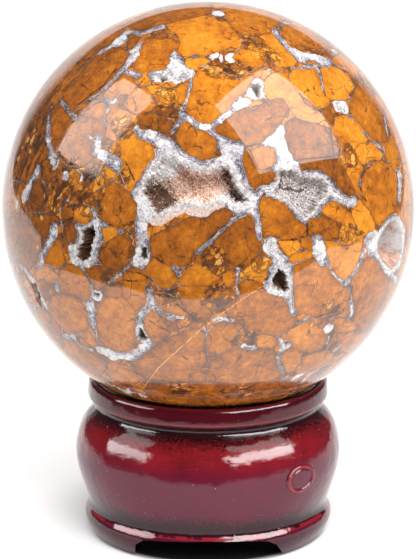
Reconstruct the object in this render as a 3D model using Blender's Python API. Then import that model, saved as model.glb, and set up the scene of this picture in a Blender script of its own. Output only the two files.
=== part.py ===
"""An agate ball with open crystal hollows, resting on its turned wooden stand.

Metres, +Z up. The origin is on the table, under the middle of the ball. The front is -Y.
Places on the ball are read as a person in front of it sees them: millimetres to the right of
and above the ball's centre, from VIEW_DISTANCE away and VIEW_HEIGHT_DEG above level.
"""

import math
import random

import bmesh
import bpy
from mathutils import Matrix, Vector

MM = 0.001

BALL_RADIUS = 40.0 * MM
BALL_CENTRE = Vector((0, 0, 65.0 * MM))
BALL_SEGMENTS = 48
BALL_RINGS = 24

VIEW_DISTANCE = 800 * MM
VIEW_HEIGHT_DEG = 15.4

# Meshes that touch keep this gap.
GAP = 0.3 * MM

# The hollows with a crust of crystals. Each outline is (right, up) in millimetres. "turn" is how far
# round the ball the viewer stands, so 180 looks at its back. Depth, crust thickness and
# crystal height are in millimetres too.
HOLLOWS = {
    "main_hollow": {
        "turn": 0,
        "outline": [
            (-12.9, 2.2), (-12.0, 5.0), (-11.0, 7.4), (-9.0, 9.3), (-6.8, 9.3), (-5.2, 8.2), (-2.6, 6.6),
            (-0.4, 6.3), (1.6, 7.0), (3.9, 7.6), (4.8, 5.6), (5.8, 3.2), (7.9, 0.5), (5.4, -0.1), (2.2, 0.9),
            (-1.2, -0.5), (-4.4, 0.5), (-7.2, -0.8), (-9.8, -2.2), (-11.3, -0.2),
        ],
        "depth": 8.0, "crust": 0.8, "crystal": 0.5, "rings": 5,
    },
    "side_basin": {
        "turn": 0,
        "outline": [
            (13.6, 6.6), (17.2, 6.8), (18.0, 5.4), (21.6, 5.4), (23.6, 3.7), (22.9, 1.6), (21.2, 0.2),
            (20.7, -1.4), (18.9, -2.6), (17.0, -0.8), (15.2, 1.0), (12.4, 2.0), (13.8, 4.2),
        ],
        "depth": 2.8, "crust": 0.6, "crystal": 0.4, "rings": 3,
    },
    "right_bowl": {
        "turn": 0,
        "outline": [
            (36.4, -2.3), (37.7, -5.1), (37.6, -8.4), (37.0, -10.8), (35.5, -12.4), (33.7, -10.6),
            (32.7, -9.0), (32.8, -7.0), (33.9, -4.7), (35.0, -3.1),
        ],
        "depth": 5.5, "crust": 0.6, "crystal": 0.3, "rings": 4,
    },
    "left_pocket": {
        "turn": 0,
        "outline": [
            (-24.5, -4.9), (-22.2, -4.0), (-21.7, -5.9), (-22.4, -7.2), (-22.8, -10.2), (-24.5, -11.2),
            (-25.4, -10.2), (-25.4, -8.4), (-24.4, -7.0),
        ],
        "depth": 3.4, "crust": 0.45, "crystal": 0.2, "rings": 3,
    },
    "lower_pocket": {
        "turn": 0,
        "outline": [
            (13.7, -12.4), (15.1, -13.2), (15.4, -14.8), (15.7, -16.4), (14.9, -17.1), (13.6, -16.6),
            (12.3, -15.5), (12.6, -14.0),
        ],
        "depth": 3.2, "crust": 0.45, "crystal": 0.2, "rings": 3,
    },
    "back_hollow": {
        "turn": 180,
        "outline": [
            (4.6, 8.6), (8.4, 11.3), (12.6, 10.4), (14.6, 6.8), (13.2, 2.8), (9.8, 1.2), (7.0, 2.9), (4.2, 4.6),
        ],
        "depth": 5.2, "crust": 0.7, "crystal": 0.4, "rings": 4,
    },
}

# Small bare pits: turn, right, up, half width, half height and depth.
PITS = {
    "slit_pit": (0, -33.1, -16.9, 0.9, 2.4, 2.6),
    "bead_pit": (0, -12.5, -9.7, 0.7, 1.3, 1.8),
    "low_pit": (0, -12.8, -25.4, 1.2, 1.3, 1.8),
    "left_edge_pit": (0, -29.5, 8.9, 0.8, 1.4, 2.0),
    "upper_left_pit": (0, -8.7, 24.4, 0.8, 0.7, 1.4),
    "upper_right_pit": (0, 9.3, 22.6, 1.0, 1.4, 1.6),
    "back_left_pit": (150, -17.0, -6.0, 1.4, 1.0, 2.2),
    "back_low_pit": (200, 3.0, -20.0, 1.0, 1.6, 2.0),
    "back_high_pit": (215, 6.0, 22.0, 1.2, 0.9, 1.8),
}

# The stand's turned outline, (radius, height) in millimetres, from the dish round to the underside.
STAND_PROFILE = [
    (0, 23.4), (9.0, 23.4), (10.0, 24.2), (21.8, 31.0), (22.2, 31.25), (22.8, 31.2), (23.35, 30.8),
    (23.55, 30.0), (23.55, 28.1), (23.3, 27.4), (22.7, 27.0), (21.9, 26.6), (21.9, 25.6), (22.5, 24.5),
    (23.8, 22.8), (25.0, 21.1), (25.8, 19.2), (26.1, 17.0), (25.9, 14.6), (25.3, 12.0), (24.4, 9.4),
    (23.6, 7.4), (23.4, 6.3), (23.7, 5.4), (24.2, 4.6), (24.3, 3.6), (23.9, 2.3), (23.1, 1.0), (22.4, 0.0),
    (17.6, 0.0), (17.6, 4.6), (0, 4.6),
]
STAND_SEGMENTS = 48

# The arch cut between two feet, (across, height) in millimetres, the same three times round.
ARCH = [(-14.2, -1.0), (14.4, -1.0), (14.4, 1.2), (13.0, 3.5), (8.0, 4.6), (0.0, 5.0), (-8.0, 4.5), (-14.2, 2.7)]
ARCH_NEAR = 12.0 * MM
ARCH_FAR = 30.0 * MM
ARCHES = 3

# A wooden plug let into the belly, and where its middle is.
PLUG_TURN_DEG = 43.7
PLUG_HEIGHT = 16.0 * MM
PLUG_HALF_WIDTH = 3.7 * MM
PLUG_HALF_HEIGHT = 2.8 * MM
PLUG_FRONT = 26.25 * MM
PLUG_BACK = 22.4 * MM
PLUG_SIDES = 20


def clear_scene():
    for thing in list(bpy.data.objects):
        bpy.data.objects.remove(thing)


def finish_material(name, colour, roughness, metallic=0.0):
    finish = bpy.data.materials.new(name)
    finish.use_nodes = True
    shader = finish.node_tree.nodes["Principled BSDF"]
    shader.inputs["Base Color"].default_value = (*colour, 1.0)
    shader.inputs["Roughness"].default_value = roughness
    shader.inputs["Metallic"].default_value = metallic
    return finish


def object_from(bm, name, material=None, smooth_angle=None):
    """Turns a bmesh into an object, with its faces pointing out."""
    bm.normal_update()
    bmesh.ops.recalc_face_normals(bm, faces=bm.faces)
    mesh = bpy.data.meshes.new(name)
    bm.to_mesh(mesh)
    bm.free()
    thing = bpy.data.objects.new(name, mesh)
    bpy.context.scene.collection.objects.link(thing)
    if material is not None:
        mesh.materials.append(material)
    if smooth_angle is not None:
        mesh.shade_smooth()
        mesh.set_sharp_from_angle(angle=math.radians(smooth_angle))
    return thing


def as_cutter(thing):
    thing.hide_render = True
    thing.display_type = "WIRE"
    return thing


def cut(thing, cutter):
    modifier = thing.modifiers.new(cutter.name, "BOOLEAN")
    modifier.operation = "DIFFERENCE"
    modifier.object = as_cutter(cutter)


def on_ball(right, up, turn=0):
    """The point of the ball, from its centre, that shows this many millimetres right of and above the centre."""
    height = math.radians(VIEW_HEIGHT_DEG)
    facing = Matrix.Rotation(math.radians(turn), 3, "Z")
    to_viewer = facing @ Vector((0, -math.cos(height), math.sin(height)))
    view_up = facing @ Vector((0, math.sin(height), math.cos(height)))
    view_right = facing @ Vector((1, 0, 0))
    eye = to_viewer * VIEW_DISTANCE
    ray = (view_right * right * MM + view_up * up * MM - eye).normalized()
    along = -eye.dot(ray)
    nearest = eye.length_squared - along * along
    return eye + ray * (along - math.sqrt(max(BALL_RADIUS**2 - nearest, 0.0)))


def inset(outline, amount):
    """Moves each corner of a flat outline inwards, by about the same distance from both its sides."""
    area = sum(a.x * b.y - b.x * a.y for a, b in zip(outline, outline[1:] + outline[:1]))
    side = 1 if area > 0 else -1
    moved = []
    for i, point in enumerate(outline):
        before = (point - outline[i - 1]).normalized()
        after = (outline[(i + 1) % len(outline)] - point).normalized()
        inward = Vector((-before.y - after.y, before.x + after.x)) * side
        inward.normalize()
        lean = max(abs(inward.dot(Vector((-after.y, after.x)))), 0.5)
        moved.append(point + inward * amount / lean)
    return moved


def hollow_rings(hollow, wall, rings):
    """Rings of points down a hollow's wall, and its deepest point. wall is how far inside the cut they lie."""
    surface = [on_ball(right, up, hollow["turn"]) for right, up in hollow["outline"]]
    middle = sum(surface, Vector()) / len(surface)
    out = middle.normalized()
    east = Vector((0, 0, 1)).cross(out).normalized()
    north = out.cross(east)
    flat = inset([Vector((p.dot(east), p.dot(north))) for p in surface], wall)
    centre = sum(flat, Vector((0, 0))) / len(flat)
    floor = BALL_RADIUS - hollow["depth"] * MM + wall
    levels = []
    for step in range(rings):
        down = step / rings
        width = math.sqrt(1 - down**2.4)
        level = []
        for corner in flat:
            rim = math.sqrt(BALL_RADIUS**2 - corner.length_squared)
            place = centre + (corner - centre) * width
            height = rim + (floor - rim) * down
            level.append(east * place.x + north * place.y + out * height)
        levels.append(level)
    deepest = east * centre.x + north * centre.y + out * floor
    return levels, deepest, out


def bridge(bm, one, other):
    """Quads between two rings of as many points."""
    faces = []
    for i in range(len(one)):
        j = (i + 1) % len(one)
        faces.append(bm.faces.new((one[i], one[j], other[j], other[i])))
    return faces


def hollow_cutter(name, hollow):
    levels, deepest, out = hollow_rings(hollow, 0.0, hollow["rings"])
    bm = bmesh.new()
    above = [bm.verts.new(p + out * 3 * MM) for p in levels[0]]
    top = bm.faces.new(above)
    ring = above
    for level in levels:
        lower = [bm.verts.new(p) for p in level]
        bridge(bm, ring, lower)
        ring = lower
    tip = bm.verts.new(deepest)
    for i, corner in enumerate(ring):
        bm.faces.new((corner, ring[(i + 1) % len(ring)], tip))
    bmesh.ops.triangulate(bm, faces=[top])
    cutter = object_from(bm, name + "_cutter")
    cutter.location = BALL_CENTRE
    return cutter


def crystal_crust(name, hollow, material):
    """The lining of a hollow: a bowl whose inner side is set with flat-sided crystal points."""
    dice = random.Random(name)
    outer, outer_tip, _ = hollow_rings(hollow, GAP, hollow["rings"])
    inner, inner_tip, _ = hollow_rings(hollow, GAP + hollow["crust"] * MM, hollow["rings"])
    bm = bmesh.new()
    outer_rings = [[bm.verts.new(p) for p in level] for level in outer]
    inner_rings = [[bm.verts.new(p) for p in level] for level in inner]
    for upper, lower in zip(outer_rings, outer_rings[1:]):
        bridge(bm, upper, lower)
    bridge(bm, outer_rings[0], inner_rings[0])
    lining = []
    for upper, lower in zip(inner_rings, inner_rings[1:]):
        lining += bridge(bm, upper, lower)
    for rings, tip_place, crystals in ((outer_rings, outer_tip, None), (inner_rings, inner_tip, lining)):
        tip = bm.verts.new(tip_place)
        last = rings[-1]
        for i, corner in enumerate(last):
            face = bm.faces.new((corner, last[(i + 1) % len(last)], tip))
            if crystals is not None:
                crystals.append(face)
    bmesh.ops.recalc_face_normals(bm, faces=bm.faces)
    for face in lining:
        height = hollow["crystal"] * MM * dice.uniform(0.5, 1.0)
        bmesh.ops.poke(bm, faces=[face], offset=height)
    bmesh.ops.triangulate(bm, faces=bm.faces)
    crust = object_from(bm, name + "_crystals", material)
    crust.location = BALL_CENTRE
    return crust


def pit_cutter(name, turn, right, up, half_width, half_height, depth):
    """A lumpy egg sunk in the ball's surface."""
    dice = random.Random(name)
    bm = bmesh.new()
    bmesh.ops.create_icosphere(bm, subdivisions=2, radius=1.0)
    for vert in bm.verts:
        vert.co *= dice.uniform(0.85, 1.1)
    out = on_ball(right, up, turn).normalized()
    east = Vector((0, 0, 1)).cross(out).normalized()
    north = out.cross(east)
    place = Matrix((
        (east.x * half_width, north.x * half_height, out.x * depth),
        (east.y * half_width, north.y * half_height, out.y * depth),
        (east.z * half_width, north.z * half_height, out.z * depth),
    )) * MM
    bm.transform(Matrix.Translation(BALL_CENTRE + out * BALL_RADIUS) @ place.to_4x4())
    return object_from(bm, name + "_cutter")


def make_ball(material):
    bm = bmesh.new()
    bmesh.ops.create_uvsphere(bm, u_segments=BALL_SEGMENTS, v_segments=BALL_RINGS, radius=BALL_RADIUS)
    ball = object_from(bm, "agate_ball", material, smooth_angle=30)
    ball.location = BALL_CENTRE
    for name, hollow in HOLLOWS.items():
        cut(ball, hollow_cutter(name, hollow))
    for name, pit in PITS.items():
        cut(ball, pit_cutter(name, *pit))
    return ball


def arch_cutter(index):
    """A prism of the arch's outline, from inside the foot ring to beyond it."""
    bm = bmesh.new()
    near = [bm.verts.new((x * MM, -ARCH_NEAR, z * MM)) for x, z in ARCH]
    far = [bm.verts.new((x * MM, -ARCH_FAR, z * MM)) for x, z in ARCH]
    bm.faces.new(near)
    bm.faces.new(reversed(far))
    bridge(bm, near, far)
    cutter = object_from(bm, f"arch_cutter_{index + 1}")
    cutter.rotation_euler.z = 2 * math.pi * index / ARCHES
    return cutter


def plug_prism(name, grow, front, back, material=None):
    """The plug's oval, as a prism that points out of the belly."""
    bm = bmesh.new()
    ends = []
    for reach in (back, front):
        ring = []
        for i in range(PLUG_SIDES):
            angle = 2 * math.pi * i / PLUG_SIDES
            across = (PLUG_HALF_WIDTH + grow) * math.cos(angle)
            above = (PLUG_HALF_HEIGHT + grow) * math.sin(angle)
            ring.append(bm.verts.new((across, -reach, PLUG_HEIGHT + above)))
        ends.append(ring)
    bm.faces.new(ends[0])
    bm.faces.new(reversed(ends[1]))
    bridge(bm, ends[0], ends[1])
    prism = object_from(bm, name, material, smooth_angle=40 if material else None)
    prism.rotation_euler.z = math.radians(PLUG_TURN_DEG)
    return prism


def make_stand(material):
    bm = bmesh.new()
    profile = [bm.verts.new((radius * MM, 0, height * MM)) for radius, height in STAND_PROFILE]
    edges = [bm.edges.new(pair) for pair in zip(profile, profile[1:])]
    bmesh.ops.spin(
        bm, geom=profile + edges, cent=(0, 0, 0), axis=(0, 0, 1),
        angle=2 * math.pi, steps=STAND_SEGMENTS, use_merge=True,
    )
    bmesh.ops.remove_doubles(bm, verts=bm.verts, dist=0.01 * MM)
    stand = object_from(bm, "wooden_stand", material, smooth_angle=35)
    for index in range(ARCHES):
        cut(stand, arch_cutter(index))
    cut(stand, plug_prism("plug_hole_cutter", GAP, 30 * MM, PLUG_BACK - GAP))
    return stand


def make_plug(material):
    """The plug's end is dressed to the belly's curve and stands a little proud of it."""
    plug = plug_prism("stand_plug", 0.0, PLUG_FRONT, PLUG_BACK, material)
    return plug


def main():
    clear_scene()
    jasper = finish_material("ochre_agate", (0.62, 0.27, 0.04), 0.08)
    quartz = finish_material("pale_quartz", (0.72, 0.66, 0.63), 0.25)
    lacquer = finish_material("cherry_lacquer", (0.16, 0.01, 0.02), 0.15)
    make_ball(jasper)
    for name, hollow in HOLLOWS.items():
        crystal_crust(name, hollow, quartz)
    make_stand(lacquer)
    make_plug(lacquer)


main()
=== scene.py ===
import math
import random

import bpy
import numpy as np
from mathutils import Matrix, Vector, noise


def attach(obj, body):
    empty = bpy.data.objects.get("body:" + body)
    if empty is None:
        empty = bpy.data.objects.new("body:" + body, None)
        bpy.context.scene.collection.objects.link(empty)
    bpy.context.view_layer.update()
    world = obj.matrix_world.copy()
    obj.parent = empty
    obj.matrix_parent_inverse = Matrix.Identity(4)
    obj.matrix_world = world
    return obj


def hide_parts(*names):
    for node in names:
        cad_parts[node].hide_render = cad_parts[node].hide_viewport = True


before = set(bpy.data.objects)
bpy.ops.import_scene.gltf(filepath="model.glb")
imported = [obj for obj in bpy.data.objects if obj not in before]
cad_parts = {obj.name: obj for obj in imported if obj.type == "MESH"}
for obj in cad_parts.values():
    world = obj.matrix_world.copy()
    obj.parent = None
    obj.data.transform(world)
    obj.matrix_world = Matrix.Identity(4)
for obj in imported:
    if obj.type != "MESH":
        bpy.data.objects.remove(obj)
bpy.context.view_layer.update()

bpy.ops.object.select_all(action="DESELECT")

# The agate ball.
# One ball of brecciated agate: angular ochre and brown jasper fragments, set in banded
# grey-lilac and white chalcedony, ground round and polished until it mirrors the room. It lies
# loose in the stand's dish, and natural hollows are left open in its polished skin.

BALL_RADIUS = 0.040
BALL_HEIGHT = 0.065

# The seat a person looks from: the ball's pattern was traced as (right, up) in millimetres from
# the ball's centre, seen from here.
VIEW_DISTANCE = 0.800
VIEW_HEIGHT_DEG = 15.4


def seen_axes(turn=0.0):
    """Right, up and towards the viewer, who has walked this many degrees round the ball."""
    lift = math.radians(VIEW_HEIGHT_DEG)
    walk = math.radians(turn)
    right = np.array((math.cos(walk), math.sin(walk), 0.0))
    near = np.array((math.sin(walk) * math.cos(lift), -math.cos(walk) * math.cos(lift), math.sin(lift)))
    return right, np.cross(near, right), near


def on_ball(points, turn=0.0):
    """Directions from the ball's centre that show at these (right, up) places, in millimetres."""
    right, up, near = seen_axes(turn)
    flat = np.atleast_2d(np.array(points, float)) / 1000
    eye = near * VIEW_DISTANCE
    rays = flat[:, :1] * right + flat[:, 1:2] * up - eye
    rays /= np.linalg.norm(rays, axis=1)[:, None]
    along = -rays @ eye
    beside = VIEW_DISTANCE**2 - along**2
    reach = along - np.sqrt(np.maximum(BALL_RADIUS**2 - beside, 0))
    hits = eye + rays * reach[:, None]
    return hits / np.linalg.norm(hits, axis=1)[:, None]


# Points further round the ball than this aren't flattened: the cosine of the angle.
FLAT_WITHIN = 0.35


def flattened(directions, middle):
    """Millimetres on the flat that touches the ball at middle. Points behind it come back far away."""
    east = np.cross((0.0, 0.0, 1.0), middle)
    east /= np.linalg.norm(east)
    north = np.cross(middle, east)
    facing = directions @ middle
    near = facing > FLAT_WITHIN
    scale = np.where(near, BALL_RADIUS * 1000 / np.where(near, facing, 1), 0)
    flat = np.stack((directions @ east, directions @ north), axis=1) * scale[:, None]
    flat[~near] = 1e3
    return flat


# Distances to an outline are only worked out this near it.
FAR_MM = 6.0


def depth_inside(flat, outline):
    """How far each flat point lies inside a closed outline, negative outside it."""
    inside = np.zeros(len(flat), bool)
    nearest = np.full(len(flat), 1e9)
    for a, b in zip(outline, np.roll(outline, -1, axis=0)):
        edge = b - a
        share = np.clip(((flat - a) @ edge) / (edge @ edge), 0, 1)
        gap = flat - a - share[:, None] * edge
        nearest = np.minimum(nearest, (gap**2).sum(axis=1))
        crosses = (a[1] > flat[:, 1]) != (b[1] > flat[:, 1])
        rise = edge[1] if edge[1] else 1e-9
        inside ^= crosses & (flat[:, 0] < a[0] + (flat[:, 1] - a[1]) * edge[0] / rise)
    return np.where(inside, 1, -1) * np.sqrt(nearest)


def inside_outline(directions, points, turn=0.0):
    """The same for an outline traced on the ball. Far outside it, it is no more than FAR_MM."""
    corners = on_ball(points, turn)
    middle = corners.mean(axis=0)
    middle /= np.linalg.norm(middle)
    close = directions @ middle > (corners @ middle).min() - FAR_MM / (BALL_RADIUS * 1000)
    inside = np.full(len(directions), -FAR_MM)
    inside[close] = depth_inside(flattened(directions[close], middle), flattened(corners, middle))
    return inside


# A traced line is followed over the ball in steps no longer than this.
STRIDE_MM = 2.5


def along_line(directions, points, turn=0.0):
    """Distance from a line of points traced on the ball, in millimetres."""
    followed = [points[0]]
    for here, there in zip(points, points[1:]):
        strides = math.ceil(math.dist(here, there) / STRIDE_MM)
        for stride in range(1, strides + 1):
            followed.append(tuple(a + (b - a) * stride / strides for a, b in zip(here, there)))
    corners = on_ball(followed, turn)
    nearest = np.full(len(directions), 1e9)
    for a, b in zip(corners, corners[1:]):
        edge = b - a
        share = np.clip(((directions - a) @ edge) / (edge @ edge), 0, 1)
        gap = directions - a - share[:, None] * edge
        nearest = np.minimum(nearest, (gap**2).sum(axis=1))
    return np.sqrt(nearest) * BALL_RADIUS * 1000


# The natural hollows: turn in degrees, then in millimetres the depth, how far in the wall has
# fallen, how far chalcedony reaches past the edge, and the outline. A crumble under 1 gives a
# smoother edge. The outlines and the turns repeat those of the solids.
HOLLOWS = {
    "main_hollow": {
        "turn": 0, "depth": 7.4, "wall": 1.3, "lip": 2.0,
        "outline": [
            (-12.9, 2.2), (-12.0, 5.0), (-11.0, 7.4), (-9.0, 9.3), (-6.8, 9.3), (-5.2, 8.2), (-2.6, 6.6),
            (-0.4, 6.3), (1.6, 7.0), (3.9, 7.6), (4.8, 5.6), (5.8, 3.2), (7.9, 0.5), (5.4, -0.1),
            (2.2, 0.9),
            (-1.2, -0.5), (-4.4, 0.5), (-7.2, -0.8), (-9.8, -2.2), (-11.3, -0.2),
        ],
        # Swellings of its floor: right, up, reach, and the share of the depth they fill.
        "swellings": [(-8.2, 6.8, 3.4, 0.62), (-1.0, 3.6, 3.2, 0.30), (2.4, 1.2, 2.4, 0.35)],
    },
    "side_basin": {
        "turn": 0, "depth": 2.2, "wall": 0.7, "lip": 1.3,
        "outline": [
            (13.6, 6.6), (17.2, 6.8), (18.0, 5.4), (21.6, 5.4), (23.6, 3.7), (22.9, 1.6), (21.2, 0.2),
            (20.7, -1.4), (18.9, -2.6), (17.0, -0.8), (15.2, 1.0), (12.4, 2.0), (13.8, 4.2),
        ],
    },
    "right_bowl": {
        "turn": 0, "depth": 4.6, "wall": 1.5, "crumble": 0.3, "lip": 1.1,
        "outline": [
            (36.4, -2.3), (37.7, -5.1), (37.6, -8.4), (37.0, -10.8), (35.5, -12.4), (33.7, -10.6),
            (32.7, -9.0), (32.8, -7.0), (33.9, -4.7), (35.0, -3.1),
        ],
    },
    "left_pocket": {
        "turn": 0, "depth": 3.0, "wall": 0.45, "lip": 1.7,
        "outline": [
            (-24.5, -4.9), (-22.2, -4.0), (-21.7, -5.9), (-22.4, -7.2), (-22.8, -10.2), (-24.5, -11.2),
            (-25.4, -10.2), (-25.4, -8.4), (-24.4, -7.0),
        ],
    },
    "lower_pocket": {
        "turn": 0, "depth": 2.8, "wall": 0.5, "lip": 1.7,
        "outline": [
            (13.7, -12.4), (15.1, -13.2), (15.4, -14.8), (15.7, -16.4), (14.9, -17.1), (13.6, -16.6),
            (12.3, -15.5), (12.6, -14.0),
        ],
    },
    "back_hollow": {
        "turn": 180, "depth": 4.6, "wall": 1.0, "lip": 2.4,
        "outline": [
            (4.6, 8.6), (8.4, 11.3), (12.6, 10.4), (14.6, 6.8), (13.2, 2.8), (9.8, 1.2), (7.0, 2.9),
            (4.2, 4.6),
        ],
    },
}

# Small bare pits: turn, right, up, half width, half height and depth, in degrees and millimetres.
PITS = [
    (0, -33.1, -16.9, 0.9, 2.4, 2.2), (0, -12.5, -9.7, 0.6, 1.3, 1.6), (0, -12.8, -25.4, 0.8, 1.3, 1.6),
    (0, -29.5, 8.9, 0.5, 1.4, 1.8), (0, -8.7, 24.4, 0.7, 0.6, 1.2), (0, 9.3, 22.6, 0.9, 1.4, 1.0),
    (0, -21.6, -17.4, 0.6, 0.4, 0.8), (0, 15.3, -26.7, 0.5, 0.5, 0.7), (0, -30.6, 12.8, 0.4, 0.5, 0.6),
    (150, -17.0, -6.0, 1.3, 0.9, 1.9), (200, 3.0, -20.0, 0.9, 1.5, 1.7), (215, 6.0, 22.0, 1.1, 0.8, 1.5),
]

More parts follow.
